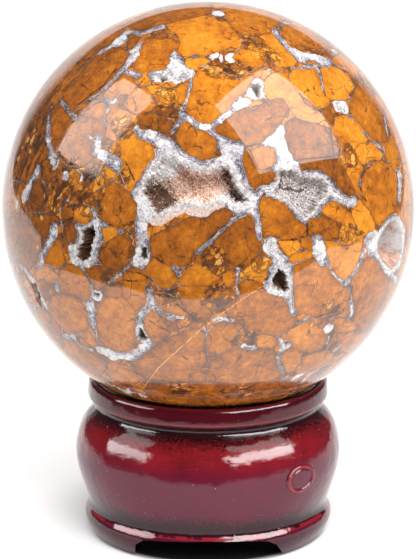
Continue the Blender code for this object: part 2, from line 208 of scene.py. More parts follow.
# The stone's fragments: tone, from 0 dark brown to 1 bright orange, and outline.
FRAGMENTS = [
    (.58, [(-12.2, 32.1), (-10, 32.2), (-7.8, 32.2), (-5.6, 31.6), (-5.9, 30.6), (-6.7, 29.9),
           (-7.3, 28.6), (-8.4, 26.5), (-9.5, 26.0), (-12.8, 26.0), (-14.0, 26.4), (-13.8, 27.6),
           (-13.0, 29.0)]),
    (.40, [(-15.6, 32.5), (-15.0, 33.2), (-14.2, 33.5), (-13.2, 32.6), (-14.4, 31.2), (-15.3, 30.7)]),
    (.35, [(-10.4, 32.7), (-10.0, 33.3), (-8.6, 33.4), (-8.2, 32.8), (-8.9, 32.3), (-9.9, 32.3)]),
    (.44, [(-19.9, 29.8), (-17.9, 30.5), (-15.4, 29.4), (-16.2, 28.2), (-17.4, 26.7), (-19.4, 23.9),
           (-20.4, 22.9), (-22.1, 21.6), (-24.3, 20.3), (-25.5, 19.3), (-26.3, 17.5), (-27.6, 20.0),
           (-27.9, 21.5), (-26.6, 22.8), (-25.4, 24.0), (-24.5, 25.6), (-22.8, 27.4), (-21.2, 28.8)]),
    (.38, [(-20.6, 31.0), (-22.0, 29.9), (-24.4, 27.6), (-26.3, 24.7), (-28.4, 21.3), (-29.7, 20.0),
           (-31.0, 21), (-31.5, 23), (-29.2, 26.8), (-26.5, 29.4), (-23.5, 31.8), (-20, 33.8),
           (-17.5, 34.9), (-16.5, 34.2), (-18, 32.7), (-19.2, 31.3)]),
    (.40, [(-28.5, 19.5), (-27.6, 18.9), (-26.9, 17.9), (-26.2, 16.5), (-27.6, 14.3), (-29.6, 10.8),
           (-30.2, 12.4), (-29.9, 14.2), (-30.6, 16.4), (-30.4, 18.2), (-29.8, 19.4)]),
    (.45, [(-26.2, 16.1), (-24.6, 17.2), (-22.5, 16.6), (-20.4, 16.0), (-19.9, 14.2), (-20.7, 13.3),
           (-23.8, 13.6), (-22.4, 12.0), (-22.2, 9.8), (-22.6, 8.6), (-24.4, 7.6), (-26.8, 8.2),
           (-28.6, 9.5), (-28.9, 11.3), (-27.6, 13.9)]),
    (.60, [(-20.0, 21.4), (-18.3, 23.4), (-16.1, 25.6), (-14.9, 24.6), (-14.0, 23.3), (-14.8, 21.6),
           (-16.9, 21.6), (-18.6, 20.4), (-21.0, 20.6)]),
    (.70, [(-13.7, 22.4), (-12.1, 22.7), (-10.8, 21.3), (-9.8, 19.8), (-11.2, 18.5), (-13.6, 17.8),
           (-15.1, 18.5), (-15.9, 19.4), (-14.9, 21.0)]),
    (.60, [(-21.7, 19.3), (-20.2, 19.9), (-19.9, 18.0), (-21.8, 16.9), (-23.6, 18.0)]),
    (.65, [(-18.6, 19.0), (-16.0, 18.0), (-14.0, 16.8), (-13.8, 15.6), (-15.2, 14.6), (-16.4, 13.5),
           (-17.5, 12.6), (-19.4, 13.4), (-19.4, 15.0), (-18.2, 16.4), (-19.4, 17.2)]),
    (.80, [(-13.4, 23.9), (-12.8, 25.2), (-11.9, 25.5), (-11.0, 24.6), (-11.4, 23.6), (-12.6, 23.3)]),
    (.90, [(-11.7, 22.9), (-9.6, 22.8), (-7.8, 22.2), (-6.3, 21.9), (-5.9, 20.6), (-6.8, 19.8),
           (-8.2, 19.2), (-9.9, 19.6), (-10.2, 20.6), (-11.0, 21.8)]),
    (.62, [(-6.5, 22.5), (-5.1, 23.3), (-3.9, 23.3), (-4.0, 21.5), (-4.7, 20.1), (-5.6, 20.0),
           (-5.9, 21.4)]),
    (.66, [(-3.0, 24.4), (-1.6, 26.2), (0, 27.0), (1.4, 25.9), (3.5, 24.9), (5.5, 24.2), (7.3, 25.2),
           (8.4, 24.6), (7.4, 22.4), (5.4, 20.6), (3.5, 18.4), (1.9, 17.1), (0.2, 16.0), (-1.6, 16.2),
           (-3.5, 17.6), (-4.2, 18.8), (-3.5, 20.8), (-3.2, 22.8)]),
    (.30, [(-10.6, 18.6), (-9.9, 19.2), (-8.2, 18.8), (-6.9, 18.4), (-5.9, 17.9), (-5.1, 17.6),
           (-6.2, 17.0), (-7.9, 17.3), (-9.4, 17.7), (-10.6, 18.1)]),
    (.34, [(-13.5, 17.4), (-12.7, 17.9), (-11.1, 17.7), (-9.4, 17.0), (-7.4, 15.9), (-6.6, 15.2),
           (-6.9, 14.3), (-7.9, 13.3), (-10.2, 14.0), (-12.4, 14.4), (-13.4, 14.8)]),
    (.58, [(-5.4, 16.0), (-4.2, 15.6), (-3.2, 15.2), (-1.9, 14.2), (-0.5, 14.1), (1.3, 13.0), (2.0, 12.2),
           (1.5, 10.6), (0.6, 8.9), (-1.2, 8.1), (-3.6, 9.4), (-5.3, 10.6), (-6.2, 11.9), (-5.8, 13.6)]),
    (.74, [(-16.2, 13.6), (-15.0, 14.6), (-13.9, 14.0), (-13.3, 12.3), (-11.7, 11.9), (-10.8, 10.6),
           (-10.0, 9.7), (-10.8, 8.4), (-12.4, 6.2), (-13.3, 4.5), (-15.0, 2.7), (-15.9, 4.1),
           (-16.4, 5.9), (-16.5, 8.3), (-16.5, 10.0), (-16.9, 11.2)]),
    (.70, [(-18.6, 9.6), (-17.8, 9.9), (-17.0, 10.9), (-17.2, 12.1), (-18.0, 11.8), (-18.8, 10.6)]),
    (.85, [(-19.8, 7.0), (-18.8, 7.3), (-17.7, 6.2), (-18.4, 5.3), (-19.6, 5.4), (-20.2, 6.2)]),
    (.46, [(-19.9, 3.4), (-18.4, 4.2), (-16.6, 3.2), (-15.2, 1.6), (-14.3, 0.6), (-13.7, -0.8),
           (-13.9, -2.3), (-14.9, -3.7), (-16.4, -4.6), (-18.4, -3.9), (-20.2, -3.1), (-20.9, -1.6),
           (-21.2, 0.6), (-20.7, 2.2)]),
    (.26, [(-38.3, 8), (-37.5, 12), (-36, 16.5), (-34, 20), (-31, 21), (-30.5, 19), (-31.3, 17),
           (-31.5, 13.5), (-31, 11), (-31.4, 8.5), (-33, 8.4), (-34, 6), (-35.5, 4.6), (-37.5, 5.5)]),
    (.25, [(-33.8, 4.9), (-32.9, 5.0), (-32.0, 3.6), (-31.3, 1.2), (-32.4, -0.6), (-34.0, -0.6),
           (-34.1, 2.2)]),
    (.30, [(-31.6, 10.0), (-30.9, 8.4), (-30.0, 6.5), (-28.9, 6.8), (-29.6, 5.8), (-31.0, 4.8),
           (-31.9, 5.6), (-32.2, 8.0)]),
    (.40, [(-16.5, 34.9), (-14.2, 34.7), (-12.5, 34.0), (-10.6, 34.7), (-9.2, 35.3), (-8.2, 35.4),
           (-6.2, 35.9), (-3.6, 36.5), (-0.9, 37.2), (0.2, 37.6), (0.6, 38.6), (-2, 38.9), (-6, 38.4),
           (-10, 37.4), (-13.5, 36.4)]),
    (.70, [(-8.0, 35.1), (-6.3, 35.5), (-3.6, 36.1), (-1.2, 36.7), (0.8, 36.6), (1.8, 35.8), (3.4, 35.6),
           (4.6, 34.2), (5.6, 33.2), (6.3, 31.9), (6.0, 30.9), (3.8, 30.5), (2.0, 30.2), (1.0, 29.6),
           (0, 29.4), (-1.4, 28.6), (-2.4, 29.2), (-4.6, 29.0), (-6.1, 29.7), (-5.4, 30.4), (-5.4, 31.8),
           (-5.8, 33.0), (-6.9, 33.9)]),
    (.86, [(-4.7, 28.5), (-2.8, 28.6), (-0.9, 28.4), (0.2, 27.7), (-1.0, 26.9), (-2.3, 26.1),
           (-3.4, 26.1), (-4.2, 27.0), (-4.9, 27.8)]),
    (.25, [(2.0, 36.4), (3.5, 36.0), (3.0, 35.6), (1.9, 35.9)]),
    (.62, [(3.4, 38.5), (6.5, 38.3), (10, 37.6), (13.4, 36.6), (14.0, 35.6), (13.0, 34.6), (12.2, 34.0),
           (11.5, 33.6), (9.0, 33.2), (7.2, 33.2), (5.8, 33.6), (4.6, 35.0), (4.2, 36.1), (3.4, 36.8),
           (2.8, 38.0)]),
    (.80, [(9.5, 32.4), (12.2, 33.2), (13.0, 32.8), (14.5, 31.0), (15.8, 29.6), (17.0, 28.2),
           (16.5, 27.2), (15.2, 27.0), (13.6, 27.2), (12.5, 28.2), (11.8, 29.4), (10.5, 30.0),
           (10.0, 31.2)]),
    (.70, [(6.0, 29.8), (8.0, 30.2), (9.6, 30.4), (10.8, 29.3), (11.8, 28.3), (10.2, 27.2), (8.2, 26.2),
           (7.0, 26.6), (5.8, 27.3), (5.2, 28.6)]),
    (.58, [(14.2, 34.3), (15.6, 34.9), (17.0, 34.9), (19.2, 33.9), (21.6, 32.4), (23.2, 31.2),
           (21.8, 30.6), (19.7, 31.1), (17.6, 31.6), (15.6, 32.4), (14.5, 33.2)]),
    (.70, [(18.8, 28.1), (20.2, 28.0), (22.0, 27.4), (20.4, 27.3), (18.9, 27.7)]),
    (.85, [(15.9, 25.5), (17.6, 26.2), (20.2, 26.6), (21.2, 25.3), (21.8, 23.2), (22.6, 21.2),
           (23.3, 20.6), (22.6, 19.2), (21.4, 19.0), (20.2, 20.0), (18.6, 21.4), (17.0, 22.8),
           (16.0, 24.2)]),
    (.90, [(22.2, 26.6), (24.8, 26.7), (26.2, 25.6), (27.4, 24.2), (28.0, 23.0), (27.4, 22.0),
           (26.6, 21.0), (25.5, 20.6), (24.0, 20.7), (23.0, 21.2), (22.6, 22.4), (22.2, 24.0),
           (22.0, 25.6)]),
    (.70, [(23.8, 28.2), (25.4, 29.3), (27.0, 28.2), (28.8, 26.4), (28.2, 25.4), (26.5, 27.0),
           (25.0, 27.4)]),
    (.52, [(28.4, 21.6), (29.4, 24.0), (31.2, 22.2), (33.2, 19.4), (34.2, 17.6), (33.6, 16.8),
           (34.0, 14.6), (34.4, 12.8), (33.2, 12.4), (31.9, 12.4), (31.1, 13.4), (30.2, 15.2),
           (28.9, 16.9), (27.7, 17.8), (27.9, 19.8)]),
    (.60, [(31.2, 23.5), (33.5, 20.6), (35.5, 17.4), (37.2, 13.4), (38.2, 9), (37.6, 8.6), (36.8, 12),
           (35.6, 15.4), (34.6, 18.0), (32.8, 20.8)]),
    (.85, [(25.0, 17.0), (26.0, 17.2), (27.2, 17.3), (28.4, 16.4), (29.8, 14.8), (30.8, 12.9),
           (30.2, 12.2), (29.2, 12.2), (28.4, 11.0), (27.2, 12.2), (25.9, 13.6), (24.6, 13.8),
           (24.4, 14.6), (24.8, 16.0)]),
    (.40, [(22.2, 18.6), (23.4, 18.4), (24.2, 17.0), (24.2, 15.8), (23.6, 16.0), (22.7, 17.4)]),
    (.85, [(29.2, 11.8), (30.4, 12.0), (31.6, 11.6), (32.6, 10.6), (33.8, 10.2), (33.2, 9.0), (31.4, 9.2),
           (30.2, 8.0), (29.4, 8.6), (28.8, 9.6), (28.6, 10.8)]),
    (.70, [(26.0, 13.2), (27.2, 11.8), (28.3, 10.3), (28.7, 9.0), (29.8, 7.4), (29.2, 5.6), (28.9, 4.2),
           (30.0, 2.2), (30.2, 0.8), (28.8, 2.2), (27.8, 4.0), (26.6, 6.0), (25.8, 8.2), (26.0, 10.4),
           (25.4, 12.2)]),
    (.58, [(30.9, 7.4), (32.0, 8.2), (33.8, 8.6), (35.0, 8.0), (36.1, 6.0), (36.3, 3.0), (36.5, 0.2),
           (36.3, -1.2), (35.2, -1.8), (33.7, -3.3), (33.0, -3.6), (32.2, -2.2), (31.2, -0.6),
           (30.2, 0.3), (29.9, 2.2), (29.5, 4.0), (29.8, 5.6)]),
    (.70, [(34.4, 11.8), (35.4, 13.6), (36.6, 10.4), (36.9, 7.4), (36.3, 7.4), (35.6, 8.6), (34.6, 9.6)]),
    (.66, [(38.2, 6.5), (38.6, 5), (39.3, 0), (39.0, -6), (38.2, -2), (37.9, 2)]),
    (.36, [(17.6, 8.4), (20.4, 8.9), (23.0, 9.1), (25.4, 9.3), (26.3, 8.2), (27.2, 6.2), (28.0, 4.6),
           (28.4, 3.0), (28.4, 1.7), (27.0, 1.6), (26.1, 2.2), (24.9, 4.0), (23.6, 5.3), (22.4, 6.5),
           (20.8, 6.6), (18.1, 6.4), (17.7, 7.4)]),
    (.42, [(7.2, 11.0), (8.1, 9.7), (9.2, 7.9), (9.7, 6.5), (11.2, 6.5), (12.5, 6.9), (13.3, 6.4),
           (13.6, 5.2), (13.3, 4.4), (11.2, 4.0), (9.9, 3.0), (9.0, 2.2), (8.4, 2.9), (7.6, 4.6),
           (6.8, 6.2), (6.5, 8.3), (6.8, 10.0)]),
    (.42, [(1.2, 14.4), (2.4, 15.6), (3.6, 16.4), (5.2, 18.0), (7.4, 18.6), (9.2, 18.2), (10.9, 19.6),
           (12.6, 20.2), (14.2, 20.7), (15.3, 18.6), (14.4, 16.8), (13.8, 15.8), (12.8, 14.6),
           (11.6, 13.2), (10.6, 12.2), (8.6, 11.7), (7.3, 11.5), (6.2, 12.2), (3.2, 12.9), (1.8, 13.7)]),
    (.38, [(15.3, 15.9), (17.0, 16.6), (18.6, 15.6), (20.9, 15.6), (22.4, 14.6), (23.6, 12.4),
           (24.0, 10.4), (24.2, 9.6), (22.0, 9.2), (18.8, 9.0), (17.0, 9.0), (16.3, 10.0), (15.4, 11.4),
           (15.2, 13.2)]),
    (.80, [(11.6, 24.6), (13.6, 25.6), (15.4, 24.6), (16.6, 23.0), (17.2, 21.8), (18.0, 20.2),
           (18.8, 19.0), (20.8, 18.0), (22.4, 16.8), (21.2, 16.2), (19.2, 16.4), (17.4, 17.2),
           (16.2, 18.6), (15.4, 20.4), (13.2, 21.0), (12.0, 20.6), (11.2, 22.2), (11.4, 23.6)]),
    (.60, [(10.2, 11.0), (12.0, 10.9), (13.4, 10.0), (13.2, 8.6), (12.2, 7.4), (11.0, 7.0), (9.8, 7.0),
           (9.0, 8.6), (8.6, 9.9)]),
    (.52, [(9.9, 0.0), (10.3, 1.0), (12.2, 1.6), (14.4, 0.9), (15.8, -0.5), (16.8, -1.9), (18.2, -3.4),
           (19.1, -3.9), (19.1, -5.6), (18.4, -6.2), (16.4, -6.9), (14.6, -6.7), (12.7, -5.8),
           (10.8, -6.9), (10.4, -5.0), (10.1, -2.8)]),
    (.42, [(19.4, -2.8), (20.2, -2.3), (22.0, -2.2), (23.6, -3.0), (25.6, -3.8), (25.4, -5.0),
           (25.0, -6.6), (23.8, -6.6), (22.6, -6.4), (21.7, -5.6), (20.2, -6.2), (19.3, -5.6),
           (19.2, -3.9)]),
    (.76, [(22.2, -0.3), (23.2, 0.4), (24.8, 0.2), (26.2, -0.8), (27.4, -1.6), (28.0, -3.0), (28.4, -3.9),
           (26.8, -3.9), (25.0, -3.0), (23.6, -2.2), (22.4, -1.6)]),
    (.92, [(28.4, -0.4), (29.3, 0.6), (30.4, -0.2), (31.2, -1.6), (31.9, -3.3), (32.0, -4.6),
           (31.0, -5.5), (30.2, -5.6), (29.2, -4.7), (28.6, -3.2), (28.2, -1.8)]),
    (.80, [(26.0, -4.2), (27.4, -4.5), (28.8, -5.0), (29.9, -6.2), (29.4, -8.4), (28.9, -9.0),
           (27.4, -8.2), (26.0, -7.4), (25.6, -5.6)]),
    (.75, [(23.0, -7.3), (24.6, -7.6), (26.4, -7.9), (28.2, -8.9), (29.6, -9.2), (29.2, -10.4),
           (28.4, -12.2), (27.6, -13.9), (26.6, -14.2), (25.4, -13.8), (24.2, -12.2), (23.6, -10.8),
           (23.2, -9.4)]),
    (.60, [(18.4, -6.7), (19.9, -6.6), (20.4, -7.6), (20.2, -8.6), (18.9, -8.5), (18.2, -7.8)]),
    (.85, [(13.9, -7.2), (15.6, -7.0), (17.2, -7.2), (17.6, -8.2), (16.8, -9.4), (15.7, -9.8),
           (14.8, -8.8)]),
    (.80, [(16.2, -9.7), (17.8, -9.4), (19.8, -9.3), (19.6, -10.2), (17.4, -10.7), (16.0, -10.6)]),
    (.56, [(16.8, -12.1), (18.2, -11.4), (19.8, -10.9), (20.9, -11.6), (22.8, -12.0), (24.0, -13.0),
           (25.2, -14.6), (26.8, -15.8), (27.8, -16.6), (27.5, -18.2), (26.8, -19.8), (25.5, -20.9),
           (23.4, -21.6), (21.6, -21.6), (19.9, -21.0), (18.9, -20.9), (17.4, -21.2), (16.8, -19.4),
           (16.4, -17.2), (16.5, -14.4), (16.3, -12.8)]),
    (.52, [(30.4, -10.9), (31.8, -9.8), (32.6, -11.2), (33.7, -13.0), (35.2, -14.2), (36.2, -15.2),
           (35.0, -18.4), (33.0, -21.4), (31.0, -23.6), (29.2, -24.0), (28.6, -22.2), (28.8, -20.4),
           (28.4, -18.4), (28.0, -16.6), (27.9, -15.2), (28.9, -12.9)]),
    (.60, [(37.4, -14.2), (38.0, -12), (38.9, -8), (38.3, -7), (38.0, -10.2), (37.4, -12.4)]),
    (.44, [(1.6, -6.4), (3.0, -4.9), (4.6, -3.6), (6.2, -2.4), (7.6, -2.5), (8.9, -3.6), (9.3, -5.6),
           (10.1, -7.6), (9.8, -8.8), (8.9, -10.2), (8.0, -11.6), (6.6, -12.0), (4.2, -11.2), (2.0, -9.8),
           (1.3, -8.2)]),
    (.44, [(-11.4, -7.6), (-10.2, -6.2), (-8.2, -5.4), (-5.6, -3.8), (-3.0, -2.9), (-0.6, -2.9),
           (1.4, -1.2), (3.4, -0.5), (4.6, -1.0), (5.2, -2.0), (4.2, -2.9), (2.9, -4.2), (1.3, -5.7),
           (-0.3, -7.0), (-1.6, -8.2), (-2.4, -9.4), (-3.2, -11.0), (-5.4, -11.9), (-7.6, -11.9),
           (-9.1, -11.2), (-10.9, -9.0)]),
    (.52, [(-1.9, -9.9), (-0.6, -8.4), (0.6, -7.9), (0.8, -9.2), (2.0, -10.4), (2.6, -11.4), (1.2, -11.6),
           (-0.6, -11.4), (-2.4, -11.4)]),
    (.60, [(-11.6, -11.8), (-10.3, -10.6), (-8.6, -11.6), (-6.9, -12.4), (-5.9, -13.2), (-6.0, -14.6),
           (-7.2, -15.8), (-8.6, -16.2), (-9.9, -15.4), (-10.4, -14.2), (-11.6, -13.4)]),
    (.62, [(-4.9, -13.4), (-3.5, -12.1), (-1.8, -11.8), (-0.2, -12.2), (0.4, -13.6), (2.2, -14.2),
           (2.8, -15.4), (1.2, -15.7), (-0.8, -15.6), (-3.4, -15.6), (-5.2, -15.4), (-5.3, -14.4)]),
    (.55, [(-6.1, -16.4), (-4.6, -15.9), (-1.8, -15.9), (0.6, -16.0), (2.6, -16.2), (2.0, -17.9),
           (1.2, -19.6), (0.2, -21.4), (-1.2, -22.4), (-2.9, -22.0), (-3.9, -20.4), (-4.8, -18.8),
           (-5.6, -17.6)]),
    (.80, [(7.2, -13.1), (8.2, -12.1), (9.4, -10.7), (11.0, -10.3), (12.2, -11.0), (11.4, -12.2),
           (12.0, -13.6), (11.2, -14.7), (9.6, -14.6), (8.2, -14.2)]),
    (.75, [(3.2, -13.7), (4.6, -13.0), (5.4, -14.2), (5.0, -15.6), (4.0, -15.8), (3.0, -14.8)]),
    (.50, [(6.0, -15.6), (7.4, -14.9), (9.2, -15.0), (10.8, -15.9), (12.2, -17.2), (14.6, -17.9),
           (15.4, -19.2), (15.8, -21.0), (17.6, -22.2), (16.8, -23.4), (14.8, -24.2), (13.0, -25.4),
           (10.2, -24.9), (8.0, -24.6), (6.2, -22.8), (4.4, -21.6), (3.6, -20.2), (5.2, -18.8),
           (6.4, -18.2), (6.0, -16.8)]),
    (.60, [(2.7, -17.0), (4.4, -16.4), (5.4, -17.6), (5.2, -18.7), (3.8, -19.8), (2.8, -19.4),
           (2.6, -18.2)]),
    (.80, [(17.3, -21.7), (18.6, -21.0), (19.0, -21.6), (18.2, -22.4), (17.4, -22.4)]),
    (.72, [(16.2, -24.2), (17.6, -23.0), (19.4, -22.4), (20.8, -23.2), (22.4, -24.6), (22.6, -25.8),
           (21.8, -27.4), (19.9, -28.0), (17.6, -27.8), (16.2, -26.8), (15.5, -25.4)]),
    (.70, [(15.0, -28.6), (17.0, -28.0), (18.0, -28.8), (17.6, -30.4), (16.4, -31.6), (14.8, -32.0),
           (13.9, -30.2), (13.6, -29.0)]),
    (.65, [(18.6, -29.6), (20.6, -28.6), (22.8, -28.4), (24.2, -28.6), (22.4, -30.4), (20.0, -31.6),
           (18.4, -31.4)]),
    (.56, [(3.2, -28.8), (5.4, -28.2), (8.0, -28.2), (10.4, -28.0), (12.4, -28.4), (13.2, -29.8),
           (13.6, -31.6), (14.8, -32.6), (12.0, -33.6), (7.6, -34.2), (3.0, -34.0), (0, -33.6),
           (0.4, -31.4), (1.6, -29.8)]),
    (.76, [(9.3, -25.8), (10.6, -25.0), (12.8, -25.4), (13.0, -26.8), (11.8, -27.4), (9.9, -27.3)]),
    (.66, [(0.2, -24.6), (2.0, -23.4), (4.2, -23.2), (5.4, -24.6), (5.4, -26.6), (3.9, -28.0),
           (2.0, -28.6), (0.4, -28.2), (-0.3, -26.4)]),
    (.46, [(-12, -36.2), (-9, -34.2), (-4, -34.3), (0, -34.2), (5, -34.8), (9.6, -34.2), (14, -34.0),
           (18.5, -34.2), (16, -36.0), (10, -37.4), (4, -38.2), (0, -38.3), (-6, -37.8), (-10.5, -36.9)]),
    (.70, [(24.0, -22.2), (26.4, -22.0), (28.0, -22.6), (28.4, -23.4), (26.6, -24.2), (25.0, -23.8)]),
    (.60, [(25.2, -25.0), (27.0, -24.8), (29.6, -24.4), (31.6, -24.2), (29.8, -26.4), (27.2, -28.0),
           (25.8, -27.6)]),
    (.80, [(-19.9, -4.4), (-18.6, -4.1), (-17.0, -5.0), (-17.8, -6.3), (-19.6, -7.2), (-20.9, -6.0)]),
    (.44, [(-19.2, -7.0), (-17.6, -5.9), (-16.2, -5.3), (-14.8, -6.9), (-15.2, -7.9), (-15.8, -9.4),
           (-15.8, -11.6), (-16.9, -12.7), (-18.8, -12.3), (-20.4, -11.2), (-21.4, -9.8), (-20.6, -8.3)]),
    (.70, [(-15.3, -5.0), (-14.5, -3.9), (-14.2, -4.8), (-14.8, -6.2)]),
    (.30, [(-15.4, -8.1), (-14.6, -8.4), (-14.3, -9.6), (-15.3, -10.2)]),
    (.36, [(-27.8, 0.2), (-26.6, -0.2), (-26.0, -2.2), (-26.6, -3.2), (-27.9, -3.3), (-28.0, -1.4)]),
    (.70, [(-25.8, -1.0), (-24.0, -0.4), (-22.4, -1.2), (-22.6, -2.8), (-23.2, -3.9), (-24.8, -3.8),
           (-25.9, -2.6)]),
    (.42, [(-27.6, -4.0), (-26.2, -3.6), (-25.3, -5.0), (-25.2, -6.6), (-26.0, -7.6), (-27.2, -6.8),
           (-27.6, -5.4)]),
    (.36, [(-33.9, -2.1), (-31.4, -1.9), (-29.2, -2.6), (-28.9, -3.4), (-30.8, -3.6), (-31.0, -5.0),
           (-31.6, -6.2), (-32.8, -5.0), (-33.8, -3.6)]),
    (.32, [(-36.8, -1.6), (-35.4, -1.8), (-34.4, -4.2), (-32.4, -6.2), (-31.8, -7.8), (-32.8, -9.2),
           (-33.4, -10.9), (-34.8, -12.2), (-37, -10.6), (-38.6, -7), (-38.9, -3)]),
    (.60, [(-30.9, -8.9), (-29.6, -7.0), (-28.6, -7.2), (-28.4, -9.2), (-28.0, -11.0), (-29.4, -11.9),
           (-30.9, -11.4), (-31.4, -10.2)]),
    (.60, [(-33.2, -12.6), (-32.0, -11.9), (-30.2, -12.3), (-29.4, -13.6), (-29.4, -14.8), (-30.9, -14.6),
           (-31.4, -13.8), (-33.0, -14.0)]),
    (.56, [(-28.4, -12.9), (-27.0, -11.9), (-25.2, -11.9), (-24.2, -12.8), (-22.9, -14.6), (-22.6, -16.0),
           (-22.5, -17.6), (-23.4, -18.2), (-25.4, -17.4), (-27.4, -17.0), (-28.4, -16.6),
           (-28.7, -14.6)]),
    (.44, [(-24.0, -12.1), (-21.8, -11.9), (-20.0, -12.2), (-18.8, -13.4), (-19.0, -14.6), (-20.2, -15.6),
           (-21.4, -16.2), (-22.3, -15.4), (-23.4, -13.8)]),
    (.56, [(-19.6, -16.0), (-18.6, -15.3), (-17.2, -15.4), (-16.8, -17.4), (-17.6, -18.0),
           (-19.2, -17.4)]),
    (.60, [(-16.0, -13.4), (-14.4, -12.7), (-12.8, -13.2), (-11.6, -14.6), (-11.9, -16.4), (-12.0, -18.6),
           (-12.8, -19.9), (-14.0, -20.1), (-15.2, -18.9), (-16.4, -17.6), (-16.3, -15.4)]),
    (.66, [(-21.2, -20.2), (-19.6, -18.4), (-17.8, -18.0), (-16.2, -18.3), (-14.8, -19.9), (-14.1, -21.6),
           (-14.2, -23.6), (-14.4, -26.2), (-15.6, -27.8), (-17.6, -28.0), (-19.8, -27.0), (-21.2, -25.0),
           (-21.6, -22.4)]),
    (.60, [(-30.2, -17.6), (-28.4, -17.6), (-26.2, -17.8), (-24.8, -19.0), (-23.7, -20.6), (-23.3, -22.4),
           (-23.6, -23.8), (-25.2, -24.4), (-27.2, -23.9), (-29.0, -22.4), (-30.4, -20.4),
           (-30.6, -18.8)]),
    (.46, [(-33.6, -19.4), (-31.6, -20.2), (-30.0, -22.2), (-28.6, -23.8), (-28.6, -26.0), (-29.8, -26.2),
           (-32.6, -23)]),
    (.56, [(-28.2, -25.6), (-26.2, -26.2), (-25.0, -27.2), (-22.6, -28.6), (-20.4, -30.1), (-19.6, -31.4),
           (-21, -32.2), (-24.4, -30.6), (-27, -28.2)]),
    (.70, [(-24.2, -24.9), (-23.2, -24.0), (-22.4, -25.2), (-21.6, -26.6), (-22.8, -27.0),
           (-24.0, -26.4)]),
    (.66, [(-19.6, -30.8), (-18.4, -30.3), (-16.8, -31.6), (-14.8, -32.2), (-13.0, -33.2), (-14.6, -34.2),
           (-17.8, -33.4), (-19.8, -32.2)]),
    (.66, [(-12.8, -22.4), (-11.4, -20.6), (-10.4, -20.2), (-9.6, -21.6), (-8.4, -23.2), (-7.8, -24.8),
           (-9.4, -26.0), (-10.6, -26.3), (-11.6, -24.8)]),
    (.66, [(-10.2, -17.6), (-8.4, -17.4), (-6.4, -18.2), (-4.8, -19.8), (-4.0, -21.4), (-5.6, -21.8),
           (-7.8, -20.4), (-9.2, -19.4)]),
    (.50, [(-9.4, -20.9), (-8.2, -20.8), (-7.4, -21.4), (-8.2, -22.2), (-9.2, -21.8)]),
    (.58, [(-14.2, -30.4), (-12.6, -29.0), (-10.8, -28.0), (-9.2, -26.8), (-6.8, -25.9), (-4.2, -24.7),
           (-1.8, -24.2), (-0.8, -25.4), (-1.2, -27.4), (-0.6, -29.8), (-1.4, -31.6), (-0.8, -33.6),
           (-4.0, -33.9), (-8.4, -33.6), (-11.8, -33.2), (-13.6, -32.0)]),
]

# Where the seams run to white quartz: right, up and reach.
QUARTZ = [
    (-8.0, 26.2, 3.0), (-5.4, 25.4, 2.4), (2.0, 37.4, 1.5), (9.3, 22.6, 2.6), (13.6, 12.6, 3.2),
    (15.4, 9.8, 2.2), (-14.6, 29.0, 2.0), (-17.4, 32.0, 1.6), (-25.4, -9.6, 2.2), (-23.2, -10.8, 1.6),
    (-22.2, -5.4, 1.3), (-13.0, -10.2, 1.7), (-30.2, 8.4, 1.9), (-31.0, 12.6, 1.2), (-27.6, 5.6, 1.0),
    (-12.6, -25.0, 2.0), (-21.6, -17.4, 1.1), (-18.6, -28.8, 1.6), (13.4, -15.8, 2.6), (12.2, -8.0, 1.6),
    (31.6, -6.6, 2.4), (34.8, -12.6, 1.6), (25.7, 19.2, 2.0), (15.4, -26.8, 1.2), (21.6, -9.0, 1.8),
    (23.2, -23.9, 1.2), (-12.4, -0.4, 2.6), (4.6, 28.6, 1.3), (1.2, 29.2, 0.8), (-0.6, 15.2, 1.0),
    (3.0, 17.2, 1.6), (6.4, 19.6, 1.6), (16.4, 5.4, 1.4), (-35.6, 2.0, 1.2), (-11.0, 14.0, 1.2),
    (5.6, 0.2, 1.6), (37.2, 5.6, 1.3),
]
# The same out of sight, with the turn last.
HIDDEN_QUARTZ = [(9.4, 6.0, 7.5, 180), (-17, -6, 3.0, 150), (6, 22, 2.6, 215), (3, -20, 2.8, 200)]
# Where the stone is broken into tiny chips.
CRACKLE = [
    (-26.2, 4.0, 4.6), (-29.4, 2.0, 3.4), (-23.0, 1.4, 3.4), (-21.8, 5.0, 2.4), (9.0, 31.6, 2.8),
    (11.6, 28.8, 2.2), (2.6, 26.6, 3.4), (5.8, 26.4, 2.6), (-8.4, 20.8, 2.4), (-16.2, 15.0, 2.6),
    (-5.6, 16.8, 1.8), (-18.2, 11.0, 1.2), (0.8, -10.0, 2.4), (6.4, -13.2, 1.8), (1.6, -18.0, 3.0),
    (27.4, -6.0, 2.4), (27.2, 9.6, 2.6), (23.4, -21.0, 2.8), (21.2, -22.2, 1.6), (7.2, -26.6, 2.4),
    (-3.2, -22.2, 2.0), (-19.4, -14.4, 1.6), (-5.0, -35.6, 3.0), (6.0, -36.0, 3.0), (-7.0, -18.4, 2.0),
    (10.0, -11.6, 2.0), (2.6, -12.2, 1.6), (-16.0, 5.4, 1.4), (31.6, 23.0, 2.0), (-15.0, -4.6, 1.4),
    (12.6, 34.0, 1.2), (-33.4, 12.0, 2.4),
]
# Yellow chips and wood-like streaks in the dark stone at the left edge.
BRIGHT_CHIPS = [
    (-34.9, 12.9, 0.62), (-36.7, 9.3, 0.62), (-35.9, 11.4, 0.4), (-33.6, 14.6, 0.4), (-33.0, -8.0, 0.4),
    (-37.4, 6.0, 0.4), (-32.2, -2.4, 0.5),
]
STREAKED = [
    (-34.0, 14.0, 7.0), (-36.5, 7.5, 6.0), (-29.5, 22.5, 5.0), (-32.5, 9.0, 4.0), (-36.0, 1.0, 4.0),
]
